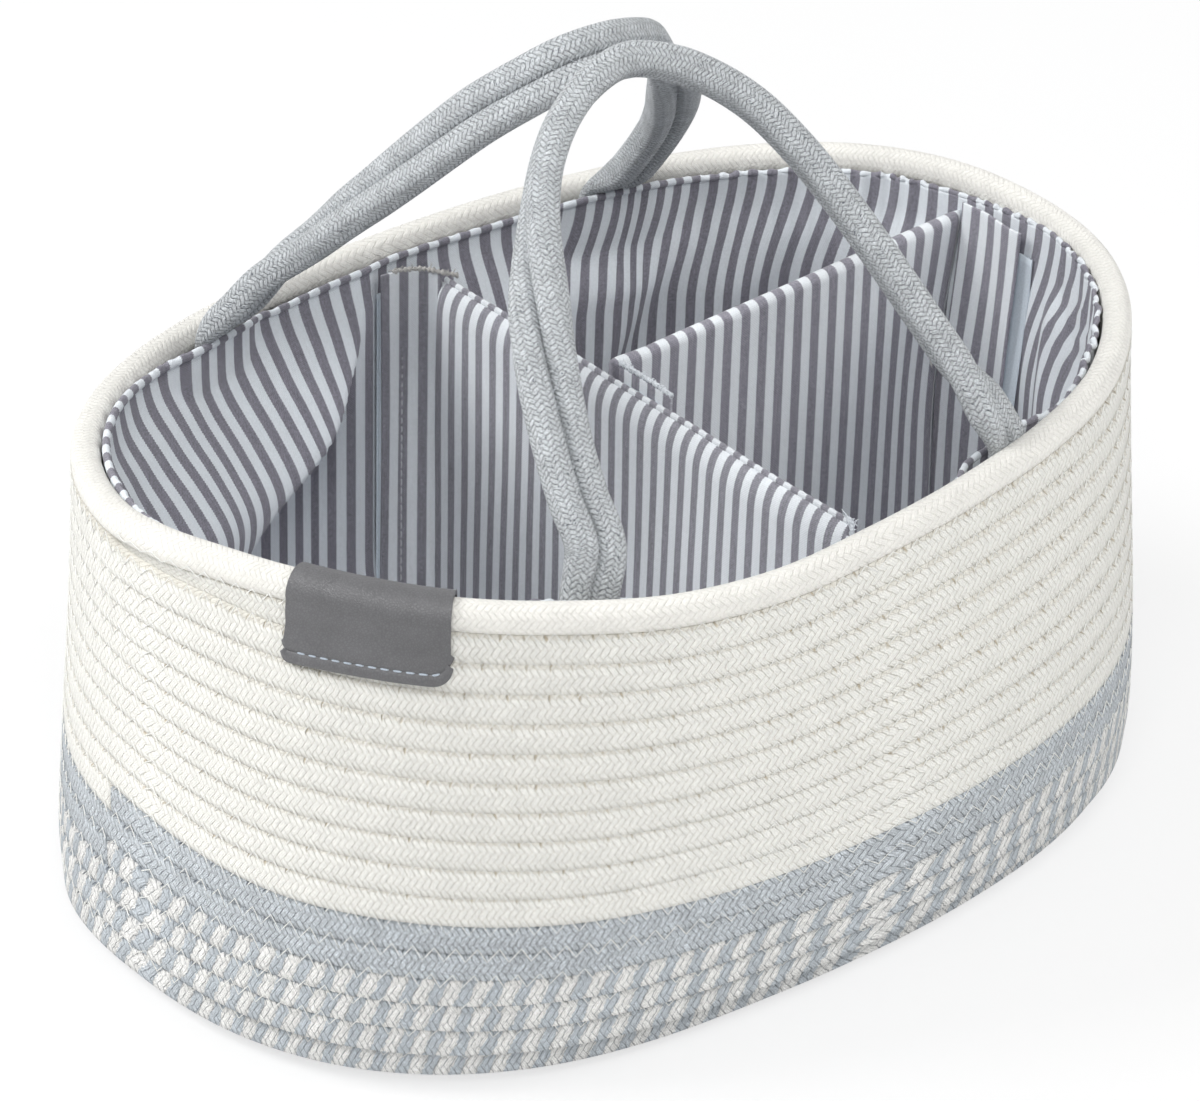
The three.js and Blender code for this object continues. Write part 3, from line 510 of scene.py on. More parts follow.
def rope_cotton(name, yarn, groove, strand, slope, depth, flecks=0.0, second=None, seam_shade=None, contrast=1.0,
                fibre_dash_and_shade=None, grain=0.08, stir=0.5, width=0.7, lay=1.8, yarn_shade=0.2):
    """Braided cotton rope: matt yarn with painted shade between the strands, fine yarn lines along each strand with
    painted shade between the yarns, and a fuzz that softens it. Flecks are paler and darker streaks along the
    strands. The dark fibre colour is a dark yarn that shows in short dashes, and where it is given it is also the
    colour of the painted shade between the strands in place of the groove colour; second is the colour of the white
    strands of a marled rope, and the seam colour is painted shade in the valleys and notches of its seam. Width and
    lay say how wide and how soft the painted shade between the strands is."""
    look, add = material(name)
    height, number, rising, across, along, parts = braid(add, strand, slope, stir)
    place = add("TexCoord", out=3)
    lines = add("Math ABSOLUTE", add("Math SINE", add("Math MULTIPLY", across, 3 * math.pi)))
    fibre = add("TexNoise", place, None, 1300.0, 3.0, 0.65)
    streak = add("CombineXYZ", across, along, add("Math MULTIPLY_ADD", number, 3.7, rising))
    streak = add("VectorMath MULTIPLY", streak, (5.0, 2.0, 1.0))
    streaks = add("TexNoise", streak, None, 1.0, 2.0, 0.6)
    body, relief = colour(yarn), height
    if second:
        white, crown = marl(add, parts, place)
        body = add("Mix", white, data_type="RGBA", named={6: body, 7: colour(second)}, out=2)
        relief = add("Math MULTIPLY_ADD", crown, 1.3, height)
    # Painted shade between the strands: the lower the strand, the nearer the groove colour.
    shade = add("MapRange", height, 0.0, width, 1.0, 0.0)
    shade = add("Math MULTIPLY", add("Math POWER", shade, lay), contrast)
    relief = add("Math MULTIPLY_ADD", lines, 0.3, relief)
    relief = add("Math MULTIPLY_ADD", fibre, 0.7, relief)
    if fibre_dash_and_shade:
        dash = add("MapRange", streaks, 0.53, 0.6, 0.0, 0.95)
        dash = add("Math MULTIPLY", dash, add("MapRange", fibre, 0.46, 0.54, 0.0, 1.0))
        shade = add("Math MAXIMUM", shade, dash)
    # The dark fibre colour, where given, serves for both its dashes and the painted shade between the strands.
    tone = add("Mix", shade, data_type="RGBA", named={6: body, 7: colour(fibre_dash_and_shade or groove)}, out=2)
    # Painted shade in the seam colour: a thin band in the valley between courses, and the notches, which also dent
    # the relief.
    if seam_shade:
        bite = seam_notches(add, parts, place)
        valley = add("MapRange", add("Math ABSOLUTE", parts[1]), 3.7, 4.1, 0.0, 0.2)
        seam_shade_mask = add("Math MAXIMUM", bite, valley)
        tone = add("Mix", seam_shade_mask, data_type="RGBA", named={6: tone, 7: colour(seam_shade)}, out=2)
        relief = add("Math MULTIPLY_ADD", bite, -1.6, relief)
    patches = add("TexNoise", place, None, 130.0, 2.0, 0.6)
    # Random tone from the fuzz, streaks and patches, and painted shade between the yarns from the yarn lines.
    value = add("MapRange", fibre, 0.3, 0.7, 1 - grain, 1 + grain)
    for source, *limits in ((streaks, 0.3, 0.7, 1 - flecks, 1 + flecks), (lines, 0.0, 0.7, 1 - yarn_shade, 1.02),
                            (patches, 0.3, 0.7, 1 - 0.4 * grain, 1 + 0.4 * grain)):
        value = add("Math MULTIPLY", value, add("MapRange", source, *limits))
    dress(add, add("VectorMath SCALE", tone, None, None, value), 0.95, 0.2, relief, depth)
    return look


def striped_cotton(name, pitch, pale, dark, share):
    """Plain-woven cotton with stripes of a dark warp over a white weft, threads 0.9 mm apart so that they show: the
    dark stripes are flecked by the weft and streaked along the warp, and the colour changes within a thread's
    width."""
    thread, edge = 0.9, 0.03
    look, add = material(name)
    uv = add("UVMap", uv_map="weave")
    parts = add("SeparateXYZ", uv).node.outputs
    place = add("TexCoord", out=3)
    warp, weft = (add("Math SINE", add("Math MULTIPLY", part, TURN / thread)) for part in parts[:2])
    weave = add("Math MULTIPLY", warp, weft)
    across = add("Math MULTIPLY_ADD", weft, 0.16, parts[0])
    across = add("Math MULTIPLY_ADD", add("TexNoise", place, None, 1600.0, 1.0), 0.5, across)
    phase = add("Math FRACT", add("Math MULTIPLY", across, 1 / pitch))
    rise = add("MapRange", phase, 0.0, edge, 0.0, 1.0)
    fall = add("MapRange", phase, share, share + edge, 1.0, 0.0)
    grain = add("TexNoise", place, None, 1300.0, 2.0, 0.7)
    streaks = add("TexNoise", add("VectorMath MULTIPLY", uv, (1.3, 0.09, 0.0)), None, 1.0, 2.0, 0.6)
    speck = add("MapRange", grain, 0.3, 0.7, 0.74, 1.26)
    speck = add("Math MULTIPLY_ADD", weave, 0.2, speck)
    speck = add("Math MULTIPLY", speck, add("MapRange", streaks, 0.3, 0.7, 0.88, 1.12))
    faint = add("Math MULTIPLY_ADD", speck, 0.2, 0.8)
    dark_yarn = add("VectorMath SCALE", colour(dark)[:3], None, None, speck)
    pale_yarn = add("VectorMath SCALE", colour(pale)[:3], None, None, faint)
    stripe = add("Math MULTIPLY", rise, fall)
    tone = add("Mix", stripe, data_type="RGBA", named={6: pale_yarn, 7: dark_yarn}, out=2)
    dress(add, tone, 0.92, 0.2, add("Math MULTIPLY_ADD", grain, 0.8, weave), 0.07, 0.8)
    return look


def pebbled_leather():
    """Chrome-tanned leather with an embossed pebble grain of about 1 mm: grey, satin, lighter on the crowns and
    darker in the creases between pebbles, which is painted shade.
    """
    look, add = material("pebbled_leather")
    place = add("TexCoord", out=3)
    pebbles = add("TexVoronoi", place, None, 1100.0, feature="DISTANCE_TO_EDGE")
    crowns = add("MapRange", pebbles, 0.0, 0.25, 0.0, 1.0)
    mottle = add("TexNoise", place, None, 90.0, 3.0, 0.6)
    value = add("MapRange", mottle, 0.3, 0.7, 0.9, 1.08)
    # Painted shade: darker in the creases between pebbles, lighter on their crowns.
    value = add("Math MULTIPLY", value, add("MapRange", crowns, 0.0, 1.0, 0.82, 1.05))
    tone = add("VectorMath SCALE", colour("656567")[:3], None, None, value)
    roughness = add("MapRange", mottle, 0.3, 0.7, 0.33, 0.46)
    dress(add, tone, roughness, 0.0, add("Math ADD", crowns, mottle), 0.1, 0.7)
    return look


def sewing_thread(name, hue):
    """Spun sewing thread: matt, with its twist as fine slanting lines."""
    look, add = material(name)
    uv = add("UVMap", uv_map="weave")
    twist = add("TexWave", uv, 0.9, 1.0, wave_type="BANDS", bands_direction="DIAGONAL")
    value = add("MapRange", twist, 0.0, 1.0, 0.85, 1.05)
    dress(add, add("VectorMath SCALE", colour(hue)[:3], None, None, value), 0.8, 0.2)
    return look


def plain_textile(name, hue, scale, depth):
    """Looped or felted tape and foam: a flat colour broken by the noise of its loops or cells."""
    look, add = material(name)
    loops = add("TexNoise", add("TexCoord", out=3), None, scale, 3.0, 0.7)
    value = add("MapRange", loops, 0.3, 0.7, 0.88, 1.06)
    dress(add, add("VectorMath SCALE", colour(hue)[:3], None, None, value), 0.9, 0.3, loops, depth, 0.9)
    return look


# Rope of 10 mm: strands of 2 to 3 mm; the handles' rope is laid finer, of pale yarn with some dark fibre
# The colour after each yarn is painted shade between the strands (for the handles, their dark fibre colour).
rim_rope = rope_cotton("cream_cotton_rim_rope", "f1efe9", "dcd8ce", 2.5, 0.9, 0.25, 0.02, contrast=0.6, yarn_shade=0.06)
cream_rope = rope_cotton("cream_cotton_rope", "f3f2ec", "d0cabc", 2.5, 0.9, 0.4, 0.05, seam_shade="c6baa3", contrast=0.9,
                         yarn_shade=0.12)
grey_rope = rope_cotton("grey_cotton_rope", "cdd3d8", "59616a", 2.4, 0.9, 0.65, 0.2, seam_shade="69717a", grain=0.26,
                        width=0.75, yarn_shade=0.22)
marled_rope = rope_cotton("marled_cotton_rope", "c4cbd1", "666e77", 2.6, 0.8, 0.7, 0.14, second="f6f5f2",
                          seam_shade="7d858e", contrast=0.75, grain=0.18, yarn_shade=0.14)
handle_rope = rope_cotton("handle_cotton_rope", "e0e4e7", "6b737b", 1.75, 0.75, 0.55, 0.2, fibre_dash_and_shade="434a52",
                          grain=0.26, stir=0.6, lay=1.2, width=0.75)
lining_cloth = striped_cotton("lining_striped_cotton", LINING_PITCH, "eaeff4", "86848e", 0.5)
cross_cloth = striped_cotton("cross_divider_striped_cotton", 7.1, "e8ecf0", "8d8c94", 0.48)
long_cloth = striped_cotton("long_divider_striped_cotton", 8.0, "eef2f6", "918f99", 0.5)
leather = pebbled_leather()
seam_thread = sewing_thread("seam_thread", "f3f3ef")
handle_thread = sewing_thread("handle_thread", "c3c8cc")
patch_thread = sewing_thread("patch_thread", "b6c0cb")
flap_thread = sewing_thread("flap_thread", "c4c6cb")
loose_yarns = {"raw": sewing_thread("raw_cotton_yarn", "b3b1ae"), "pale": sewing_thread("pale_cotton_yarn", "dfe4e9")}
tape = plain_textile("loop_tape", "d9e3ec", 1800.0, 0.2)
foam = plain_textile("closed_cell_foam", "f2f0ea", 900.0, 0.05)


# ---- rope wall ----

def rope_piece(name, path, turns, look, size=1.0, tall=5.7, power=7.5):
    """One rope of the coil: a soft square section, pressed into its neighbours, flat where it would reach below the
    floor. Where it is thinner it keeps to the underside."""
    size = np.broadcast_to(size, turns.shape)
    centre = path - UP * ((1 - size) * ROPE_SINK)[:, None]
    rings = tube(centre, flat_outward(path), UP, ROPE_HALF * size, tall * size, 18, power, start=math.pi)
    rings[..., 2] = np.maximum(rings[..., 2], 0.0)
    around = np.linspace(-HALF_ROUND, HALF_ROUND, 19)
    piece = surface(name, [(rings, grid_uv(turns * TURN_LENGTH, around))], look, "basket")
    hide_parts(name)


def wall_ropes():
    """The floor spiral, three colours of wall rope, sampled every 3 mm, and the rim rope."""
    for name, first, last, look in (("floor_rope", -FLOOR_TURNS, -JOINT_GAP, marled_rope),
                                    ("marled_rope", JOINT_GAP, 4 - JOINT_GAP, marled_rope),
                                    ("grey_rope", 4 + JOINT_GAP, 6 - JOINT_GAP, grey_rope),
                                    ("cream_rope", 6 + JOINT_GAP, 16.03, cream_rope)):
        turns = np.linspace(first, last, int((last - first) * 350))
        taper = smooth(turns, WALL_TURNS + FALL_END - FALL, WALL_TURNS + FALL_END)
        rope_piece(name, coil_point(turns), turns, look, np.clip(1 - taper, 0.1, 1))
    turns = np.linspace(RIM_JOINT - 1 + JOINT_GAP, RIM_JOINT - JOINT_GAP, 360)
    rope_piece("rim_rope", rim_point(turns), turns, rim_rope, tall=5.3, power=2.3)


def wall_stitches():
    """Zigzag stitches that sew each course to the one above: straight thread across the valley, from 2.4 mm below
    it to 2.4 mm above, and dipping into the rope at each end."""
    step = np.arange(WALL_TURNS * SEAM_STITCHES * 4)
    turns = step / (SEAM_STITCHES * 4)
    lower = coil_point(turns)
    inside = (turns + 1 < WALL_TURNS)[:, None]
    upper = np.where(inside, coil_point(np.minimum(turns + 1, WALL_TURNS)), rim_point(turns + 1))
    side = ZIGZAG[step % 4]
    share = (0.5 + side * 0.245)[:, None]
    outward = flat_outward(lower)
    reach = np.where(side == 0, ROPE_HALF, ROPE_HALF + 0.02)[:, None]
    path = lower * (1 - share) + upper * share + outward * reach
    rings = thread_rings(path, outward, THREAD_HALF, THREAD_HALF)
    marks = grid_uv(step * 1.9, np.linspace(0, 1.7, 5))
    surface("wall_seam_stitches", [(rings, marks)], seam_thread, "basket")


# ---- lining ----

def over_foot(x, y):
    """Where the lining passes over the rope ends of a handle's foot: one over the pair, falling to zero beside it."""
    share = np.zeros_like(x)
    for foot, side in FEET:
        share = np.maximum(share, (1 - smooth(np.abs(x - foot), 11, 34)) * (side * y > 0))
    return share


def lining_line(angle):
    """Plan of the lining's top edge, level of the hem and level direction outward: just inside the rim rope,
    climbing on it where it is pulled up, and higher over the rear feet."""
    height = rim_height((JOINT_ANGLE - angle) / TURN)
    x, y = oval_point(angle, LINING_HALF_LENGTH, LINING_HALF_WIDTH, RIM_POWER)
    lift = round_table(angle, HEM_ANGLES, HEM_LIFT)
    hem = height + dip(angle, height) + lift + FOOT_LIFT * over_foot(x, y) * (y > 0)
    normal_x, normal_y = oval_normal(x, y, LINING_HALF_LENGTH, LINING_HALF_WIDTH, RIM_POWER)
    out = swell(angle, RIM_LEVEL) + 0.4 * smooth(lift, -1, 3)
    return x + normal_x * out, y + normal_y * out, hem


def soft_row(row):
    """Row of the fold's table at every 2 mm of depth, its corners rounded by a bell-shaped average."""
    bell = np.hanning(13)[1:-1] / 6
    return np.convolve(np.pad(np.interp(FOLD_DEPTH, FOLD_DEPTHS, row), 5, "edge"), bell, "valid")


def step_down(value, place, width):
    """One before a place and zero after it: a logistic curve."""
    return 1 / (1 + np.exp(np.clip((value - place) / width, -30, 30)))


def lining_fall(x, y, below):
    """How far the cloth hangs inward of a straight drop, in millimetres, at a depth below FOLD_LEVEL: its four
    folds on the rear side, each a stand times a logistic edge and smooth ends; shallow waves, gathers near the hem
    at the right end, and the pull of the floor. The cloth is calm behind the strips of tape."""
    edge, stand = (np.interp(below, FOLD_DEPTH, soft_row(row)) for row in (FOLD_EDGE, FOLD_STAND))
    overhang = stand * step_down(x, edge, 2.6) * smooth(x, -186, -110)
    beside_flap = 5.2 * step_down(x, -7.6, 0.7) * smooth(x, -62, -14) * smooth(below, 6, 20)
    middle_edge = step_down(x, 112 - 0.46 * np.clip(below - 22, 0, 90), np.interp(below, [18, 35, 70], [8, 3.5, 2.5]))
    middle = 11 * smooth(below, 12, 40) * smooth(x, 14, 40) * middle_edge
    corner_edge = step_down(x, 148 - 0.38 * np.clip(below - 22, 0, 60), 2.8)
    corner = 7 * smooth(below, 14, 45) * smooth(x, 100, 132) * corner_edge
    folds = np.maximum(overhang, beside_flap) + middle + corner
    waves = 1.6 * np.sin(x / 13.0 + 1.3 * np.sin(y / 31.0)) + 1.2 * np.sin(y / 9.0 + x / 37.0)
    waves = waves * smooth(below, 8, 26) * (0.6 + 0.8 * smooth(np.abs(x), 130, 175))
    walk = np.arctan2(y / LINING_HALF_WIDTH, x / LINING_HALF_LENGTH)
    gathers = 0.9 * (1 + np.sin(walk * 96) * np.sin(walk * 41 + 1)) * smooth(x, 100, 140)
    gathers = gathers * (1 - smooth(below, 10, 48))
    behind_tape = np.maximum(1 - smooth(np.abs(x + 1), 13, 22), (1 - smooth(np.abs(y - 2), 25, 34)) * (x > 0))
    loose = waves + gathers + 1.8 * smooth(below, 8, 24)
    return folds * smooth(y, 0, 60) + loose * (1 - behind_tape) + 7 * smooth(below, 118, 163)


def lining_points(angle, share):
    """Lining surface: its top line dropped straight down and moved inward by the fall, by the room that a handle's
    sewn ends need (a soft maximum of both), and less where the wall's waist needs it."""
    x, y, hem = lining_line(angle)
    normal_x, normal_y = oval_normal(x, y, LINING_HALF_LENGTH, LINING_HALF_WIDTH, RIM_POWER)
    level = hem + (LINING_FOOT - hem) * share
    depth = hem - level
    fall = lining_fall(x, y, FOLD_LEVEL - level)
    room = FOOT_ROOM * over_foot(x, y) * (1 - smooth(depth, 2, 84))
    fall = np.where(room > 0.01, 0.5 * (fall + room + np.hypot(fall - room, 0.8)), fall)
    waist = (RIM_LENGTH / 2 - wall_oval(level)[0]) * np.abs(normal_x) ** 2
    fall = fall + np.maximum(waist, 0) * smooth(depth, 8, 40)
    return np.stack([x - normal_x * fall, y - normal_y * fall, level], -1)


def lining_lean(x, y, depth):
    """Sideways drift of the stripes with depth, as the cloth is drawn along the wall."""
    rear = smooth(y, 20, 70)
    left = -10 * rear * (1 - smooth(x, -60, -25)) * smooth(depth, 4, 66)
    right = 12 * rear * smooth(x, 40, 75) * smooth(depth, 0, 45)
    end = 22 * smooth(x, 140, 165) * smooth(-y, -20, 45) * smooth(depth, 0, 62)
    return left + right + end


def round_angles(columns):
    """Evenly spaced angles once round the basket, clockwise from the joint."""
    return JOINT_ANGLE - TURN * np.arange(columns) / columns


def lining_wall():
    """Lining wall with its folds. Gives the pattern coordinate along the hem."""
    angle, share = round_angles(LINING_COLUMNS), np.linspace(0, 1, 64)[:, None] ** 1.15
    grid = lining_points(angle[None], share)
    x, y, hem = lining_line(np.append(angle, angle[0] - TURN))
    walk = running_length(np.hypot(np.diff(x), np.diff(y)))
    walk = np.interp(walk, STRIPE_PLACES + [walk[-1]], STRIPE_NUMBERS) * LINING_PITCH
    depth = (hem[None] - LINING_FOOT) * share
    uv = np.stack([walk[None] + lining_lean(x[None], y[None], depth), depth], -1)
    wall = surface("lining_wall", [(grid, uv)], lining_cloth, "basket", caps=False)
    thicken(wall, 0.6, 1.0)
    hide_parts("lining_wall")
    return walk


def lining_floor():
    """Lining floor: rings that shrink to one middle point, with a ripple that is a product of sines, its stripes
    along the short side."""
    ring = lining_points(round_angles(LINING_COLUMNS), np.full(LINING_COLUMNS, 0.985))
    plate = ring[None] * np.linspace(0, 1, 40)[:, None, None]
    plate[..., 2] = LINING_FLOOR + 0.5 * np.sin(plate[..., 0] / 17) * np.sin(plate[..., 1] / 13)
    plate[0, :, 2] = LINING_FLOOR
    rows, columns = plate.shape[:2]
    points = np.vstack([plate[0, :1], plate[1:].reshape(-1, 3)])
    rings = 1 + np.arange((rows - 1) * columns).reshape(rows - 1, columns)
    turned = np.roll(rings, -1, axis=1)
    fan = np.stack([np.zeros_like(rings[0]), rings[0], turned[0]], -1).tolist()
    bands = np.stack([rings[:-1], rings[1:], turned[1:], turned[:-1]], -1).reshape(-1, 4).tolist()
    floor = new_piece("lining_floor", points, fan + bands, lambda corners: points[corners][:, :2], lining_cloth)
    if floor.data.polygons[0].normal.z < 0:
        floor.data.flip_normals()
    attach(floor, "basket")
    thicken(floor, 0.8, 1.0)
    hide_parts("lining_floor")


def lining_hem(walk):
    """Rolled hem: a tube along the lining's top line, puckered by a product of sines. Smooth steps make it fuller at
    the left end and slimmer at the right."""
    columns = 1500
    line = lining_points(round_angles(columns), np.zeros(columns))
    x = line[:, 0]
    gather = np.arange(columns) * TURN / columns
    pucker = (0.3 + 0.45 * smooth(x, 90, 135)) * np.sin(170 * gather + 2 * np.sin(23 * gather))
    pucker = pucker * (0.6 + 0.4 * np.sin(17 * gather))
    normal = flat_outward(np.vstack([line[-2:], line, line[:2]]))[2:-2]
    slim, full = smooth(x, 105, 160), 1 - smooth(x, -150, -60)
    centre = line - normal * (0.2 + 0.5 * pucker - 0.8 * slim)[:, None] + UP * (0.4 + pucker * 0.7)[:, None]
    walk = np.interp(np.arange(columns + 1) / columns, np.linspace(0, 1, len(walk)), walk)
    half_wide = 1.15 + 0.2 * full - 0.3 * slim + 0.25 * pucker
    half_tall = 1.35 + 0.45 * full - 0.4 * slim + 0.25 * pucker
    grids = [(tube(centre, normal, UP, half_wide, half_tall, 10), grid_uv(walk, np.linspace(0, 10, 11)))]
    roll = surface("lining_hem", grids, lining_cloth, "basket", wrap=(True, True), caps=False)
    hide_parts("lining_hem")


# ---- handles ----

def spline(points, spacing):
    """Catmull-Rom curve through points, sampled evenly: cubic Hermite spans with central-difference tangents."""
    points = np.asarray(points, float)
    gaps = np.linalg.norm(np.diff(points, axis=0), axis=1)
    place = running_length(gaps)
    slope = np.gradient(points, place, axis=0)
    fine = np.linspace(0, place[-1], int(place[-1] / spacing) + 1)
    span = np.clip(np.searchsorted(place, fine, side="right") - 1, 0, len(gaps) - 1)
    t = ((fine - place[span]) / gaps[span])[:, None]
    width = gaps[span][:, None]
    return ((2 * t ** 3 - 3 * t ** 2 + 1) * points[span] + (t ** 3 - 2 * t ** 2 + t) * width * slope[span]
            + (3 * t ** 2 - 2 * t ** 3) * points[span + 1] + (t ** 3 - t ** 2) * width * slope[span + 1]), fine


def rim_place(x, side):
    """Point of the rim's centre line at a length, on the rear (1) or front (-1) side, with its outward direction."""
    a, b, power = (float(v) for v in wall_oval(RIM_LEVEL))
    y = side * b * (1 - abs(x / a) ** power) ** (1 / power)
    normal = np.array([*oval_normal(x, y, a, b, power), 0.0])
    angle = math.atan2(side * abs(y / b) ** (power / 2), np.sign(x) * abs(x / a) ** (power / 2))
    height = float(rim_height((JOINT_ANGLE - angle) / TURN))
    return np.array([x, y, height + float(dip(angle, height))]), normal


def handle(name, middle, side, lean, arch, leave, near_inside, climbs, facing):
    """Two ropes side by side, each one length from behind the lining, over the arch and back down. The arch is a
    smooth curve through points, along and above the line between the hinges, in a plane that leans inward, and
    leaves that plane inward by a table. The pair turns from side by side at the feet to one rope over the other at
    the crown, each leg within its own span of length."""
    feet = [rim_place(middle + end * HALF_SPAN, side) for end in (-1, 1)]
    hinge_level = max(foot[0][2] for foot in feet) + RIM_HALF + HANDLE_HALF + HINGE_GAP
    hinges = [np.append((point - normal * HINGE_INSIDE)[:2], hinge_level) for point, normal in feet]
    axis = unit(hinges[1] - hinges[0])
    rise = UP * math.cos(lean) - side * np.cross(UP, axis) * math.sin(lean)
    along, up = np.array(arch).T[:, :, None]
    inward = np.array(leave)[:, None] * np.cross(rise, axis)
    spine = (hinges[0] + hinges[1]) / 2 + along * axis + up * rise - inward
    roots, rims = [], []
    for point, normal in feet:
        root = point - normal * END_INSIDE
        knee = root - normal * 0.2
        roots.append(np.array([[*root[:2], hinge_level - 36], [*root[:2], point[2] - 13], [*knee[:2], point[2] + 1]]))
        rim = np.cross(normal, UP)
        rims.append(unit(rim) * np.sign(np.dot(rim, axis)))
    line, length = spline(np.vstack([roots[0], spine, roots[1][::-1]]), 1.4)
    forward = unit(np.gradient(line, axis=0))
    reach = np.minimum(length, length[-1] - length)
    late = (length > length[-1] / 2)[:, None]
    spans = np.where(late, climbs[1], climbs[0])
    climb = smooth(reach, spans[:, 0], spans[:, 1])[:, None] * math.pi / 2
    settle = smooth(reach, 24, 50)[:, None]
    beside = np.where(late, -rims[1], rims[0]) * (1 - settle) + np.where(late, -axis, axis) * settle
    beside = beside if near_inside else -beside
    over = np.broadcast_to(np.asarray(facing, float), forward.shape)
    beside, over = (unit(way - forward * np.sum(way * forward, -1, keepdims=True)) for way in (beside, over))
    pair = unit(np.cos(climb) * beside + np.sin(climb) * over)
    fullness = smooth(line[:, 2], hinge_level - 10, hinge_level + 3)
    for label, away in (("near", 1.0), ("far", -1.0)):
        path = line + away * pair * HALF_APART
        tangent = unit(np.gradient(path, axis=0))
        tall = unit(np.cross(tangent, pair))
        rings = tube(path, tall, np.cross(tall, tangent), 2.3 + 2.9 * fullness, 5.0, 24, HANDLE_POWER)
        grids = [(rings, grid_uv(length, np.linspace(0, HANDLE_ROUND, 25)))]
        rope = surface(f"{name}_{label}_rope", grids, handle_rope, None)
        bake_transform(rope)
        place = "inner" if (away > 0) == near_inside else "outer"
        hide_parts(f"{name}_{label}_rope", f"{name}_left_{place}_end", f"{name}_right_{place}_end")
    stitch_pair(name, line, pair, forward, hinge_level)


def stitch_pair(name, line, pair, forward, hinge_level):
    """Zigzag stitches over the valley between a handle's two ropes, on both faces."""
    rows = []
    side = ZIGZAG[np.arange(len(line)) % 4]
    keep = line[:, 2] > hinge_level + 25
    for face in (1.0, -1.0):
        over = np.cross(forward, pair) * face
        path = line + pair * (side * 2.2)[:, None] + over * np.where(side == 0, 4.35, 4.45)[:, None]
        path, high = path[keep], over[keep]
        rings = thread_rings(path, high, 0.14, 0.14)
        rows.append((rings, grid_uv(np.arange(len(path)) * 2.3, np.linspace(0, 1.6, 5))))
    surface(f"{name}_seam_stitches", rows, handle_thread, name)


# ---- dividers ----

def profile_panel(name, profile, length, place, look, body, sway, ends=3.0):
    """Padded cover made by carrying a closed profile of thickness and height along a length. Its ends narrow to a
    sewn edge by a square law, and a sway moves each section sideways by a sum of sines of length and height."""
    run = np.linspace(-length / 2, length / 2, int(length / 2.0) + 1)[:, None]
    rounding = 1 - 0.62 * (1 - smooth(length / 2 - np.abs(run), 0, ends)) ** 2
    thick = profile[None, :, 0] * rounding
    tall = np.broadcast_to(profile[None, :, 1], thick.shape)
    grid = place(np.broadcast_to(run, thick.shape), thick + sway(run, tall), tall)
    walk = running_length(np.linalg.norm(np.diff(np.vstack([profile, profile[:1]]), axis=0), axis=1))
    cover = surface(name, [(grid, grid_uv(run[:, 0], walk))], look, body)
    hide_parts(name)


def cross_cover():
    """Cover of the cross divider: its left face curls over the board's top, a quarter of an ellipse, to a rolled seam
    along the right edge."""
    left = np.stack([np.full(24, -HALF_COVER), np.linspace(0, CROSS_HEIGHT - 12, 24)], -1)
    bend = np.linspace(0, math.pi / 2, 12)[1:]
    curl = np.stack([-HALF_COVER + 4.9 * (1 - np.cos(bend)), CROSS_HEIGHT - 12 + 10.6 * np.sin(bend)], -1)
    right = np.stack([np.full(22, HALF_COVER), np.linspace(CROSS_HEIGHT - 4, 0, 22)], -1)

    def sway(run, tall):
        """Bow along the board, a product of sines, and a slanting sine that grows over the upper half."""
        ripple = 0.5 * np.sin(run / 12.0 + tall / 40) * smooth(tall, 30, 90)
        return 0.7 * np.sin(run / 31 + 0.5) * np.sin(np.pi * tall / 150) + ripple

    def place(run, across, up):
        """Stands the cover along Y."""
        return np.stack([CROSS_X + across, CROSS_Y + run, COVER_FOOT + up], -1)

    profile = np.vstack([left, curl, right])
    profile_panel("cross_divider_cover", profile, CROSS_LENGTH, place, cross_cloth, "cross_divider", sway)
    run = np.linspace(-104.2, 104.2, 420)
    wave = 0.1 * np.sin(run * TURN / 3.55)
    across = 2.0 + 0.25 * np.sin(run / 12) + sway(run, np.full_like(run, 140.0))
    path = place(run, across, CROSS_HEIGHT - 1 + wave * 0.8)
    rings = tube(path, ALONG, UP, 0.9 + 0.2 * wave, 1.25 + wave * 0.5, 10)
    marks = grid_uv(run + 1.2, np.linspace(0, 8, 11))
    surface("cross_divider_seam", [(rings, marks)], cross_cloth, "cross_divider")


def long_cover():
    """Cover of the long divider: the cloth folds over the board's top in a half circle, and the top rises to the
    right."""
    bend = np.linspace(0, math.pi, 16)
    left = np.stack([np.full(20, -HALF_COVER), np.linspace(0, LONG_HEIGHT, 20)], -1)
    top = np.stack([-HALF_COVER * np.cos(bend), LONG_HEIGHT + HALF_COVER * np.sin(bend)], -1)[1:-1]
    half, middle = LONG_LENGTH / 2, LONG_START + LONG_LENGTH / 2

    def sway(run, tall):
        """Bow along the board, a product of sines, and a sine of the height near the right end."""
        ripple = 0.9 * smooth(run, 40, 78) * np.sin(tall / 21)
        return 0.8 * np.sin(run / 23 + 1.0) * np.sin(np.pi * tall / 155) + ripple

    def place(run, across, up):
        """Stands the cover along X: its top rises to the right, its right end is tucked in at the foot and reaches
        out at the top, and its top left corner is drawn in, each by smooth steps."""
        share = (run + half) / LONG_LENGTH
        lift = smooth(up, 20, 140) * 7.5 * share
        tuck = (1 - smooth(up, 60, 150)) * 5.0 * smooth(run, 40, half)
        tuck = tuck - 2.0 * smooth(up, 70, 150) * smooth(run, 30, half)
        corner = smooth(up, 120, 145) * (1 - smooth(share, 0, 0.1))
        return np.stack([middle + run - tuck - 2.0 * corner, LONG_Y - across, COVER_FOOT + up + lift + corner], -1)

    profile = np.vstack([left, top, left[::-1] * [-1, 1]])
    profile_panel("long_divider_cover", profile, LONG_LENGTH, place, long_cloth, "long_divider", sway, 4.0)


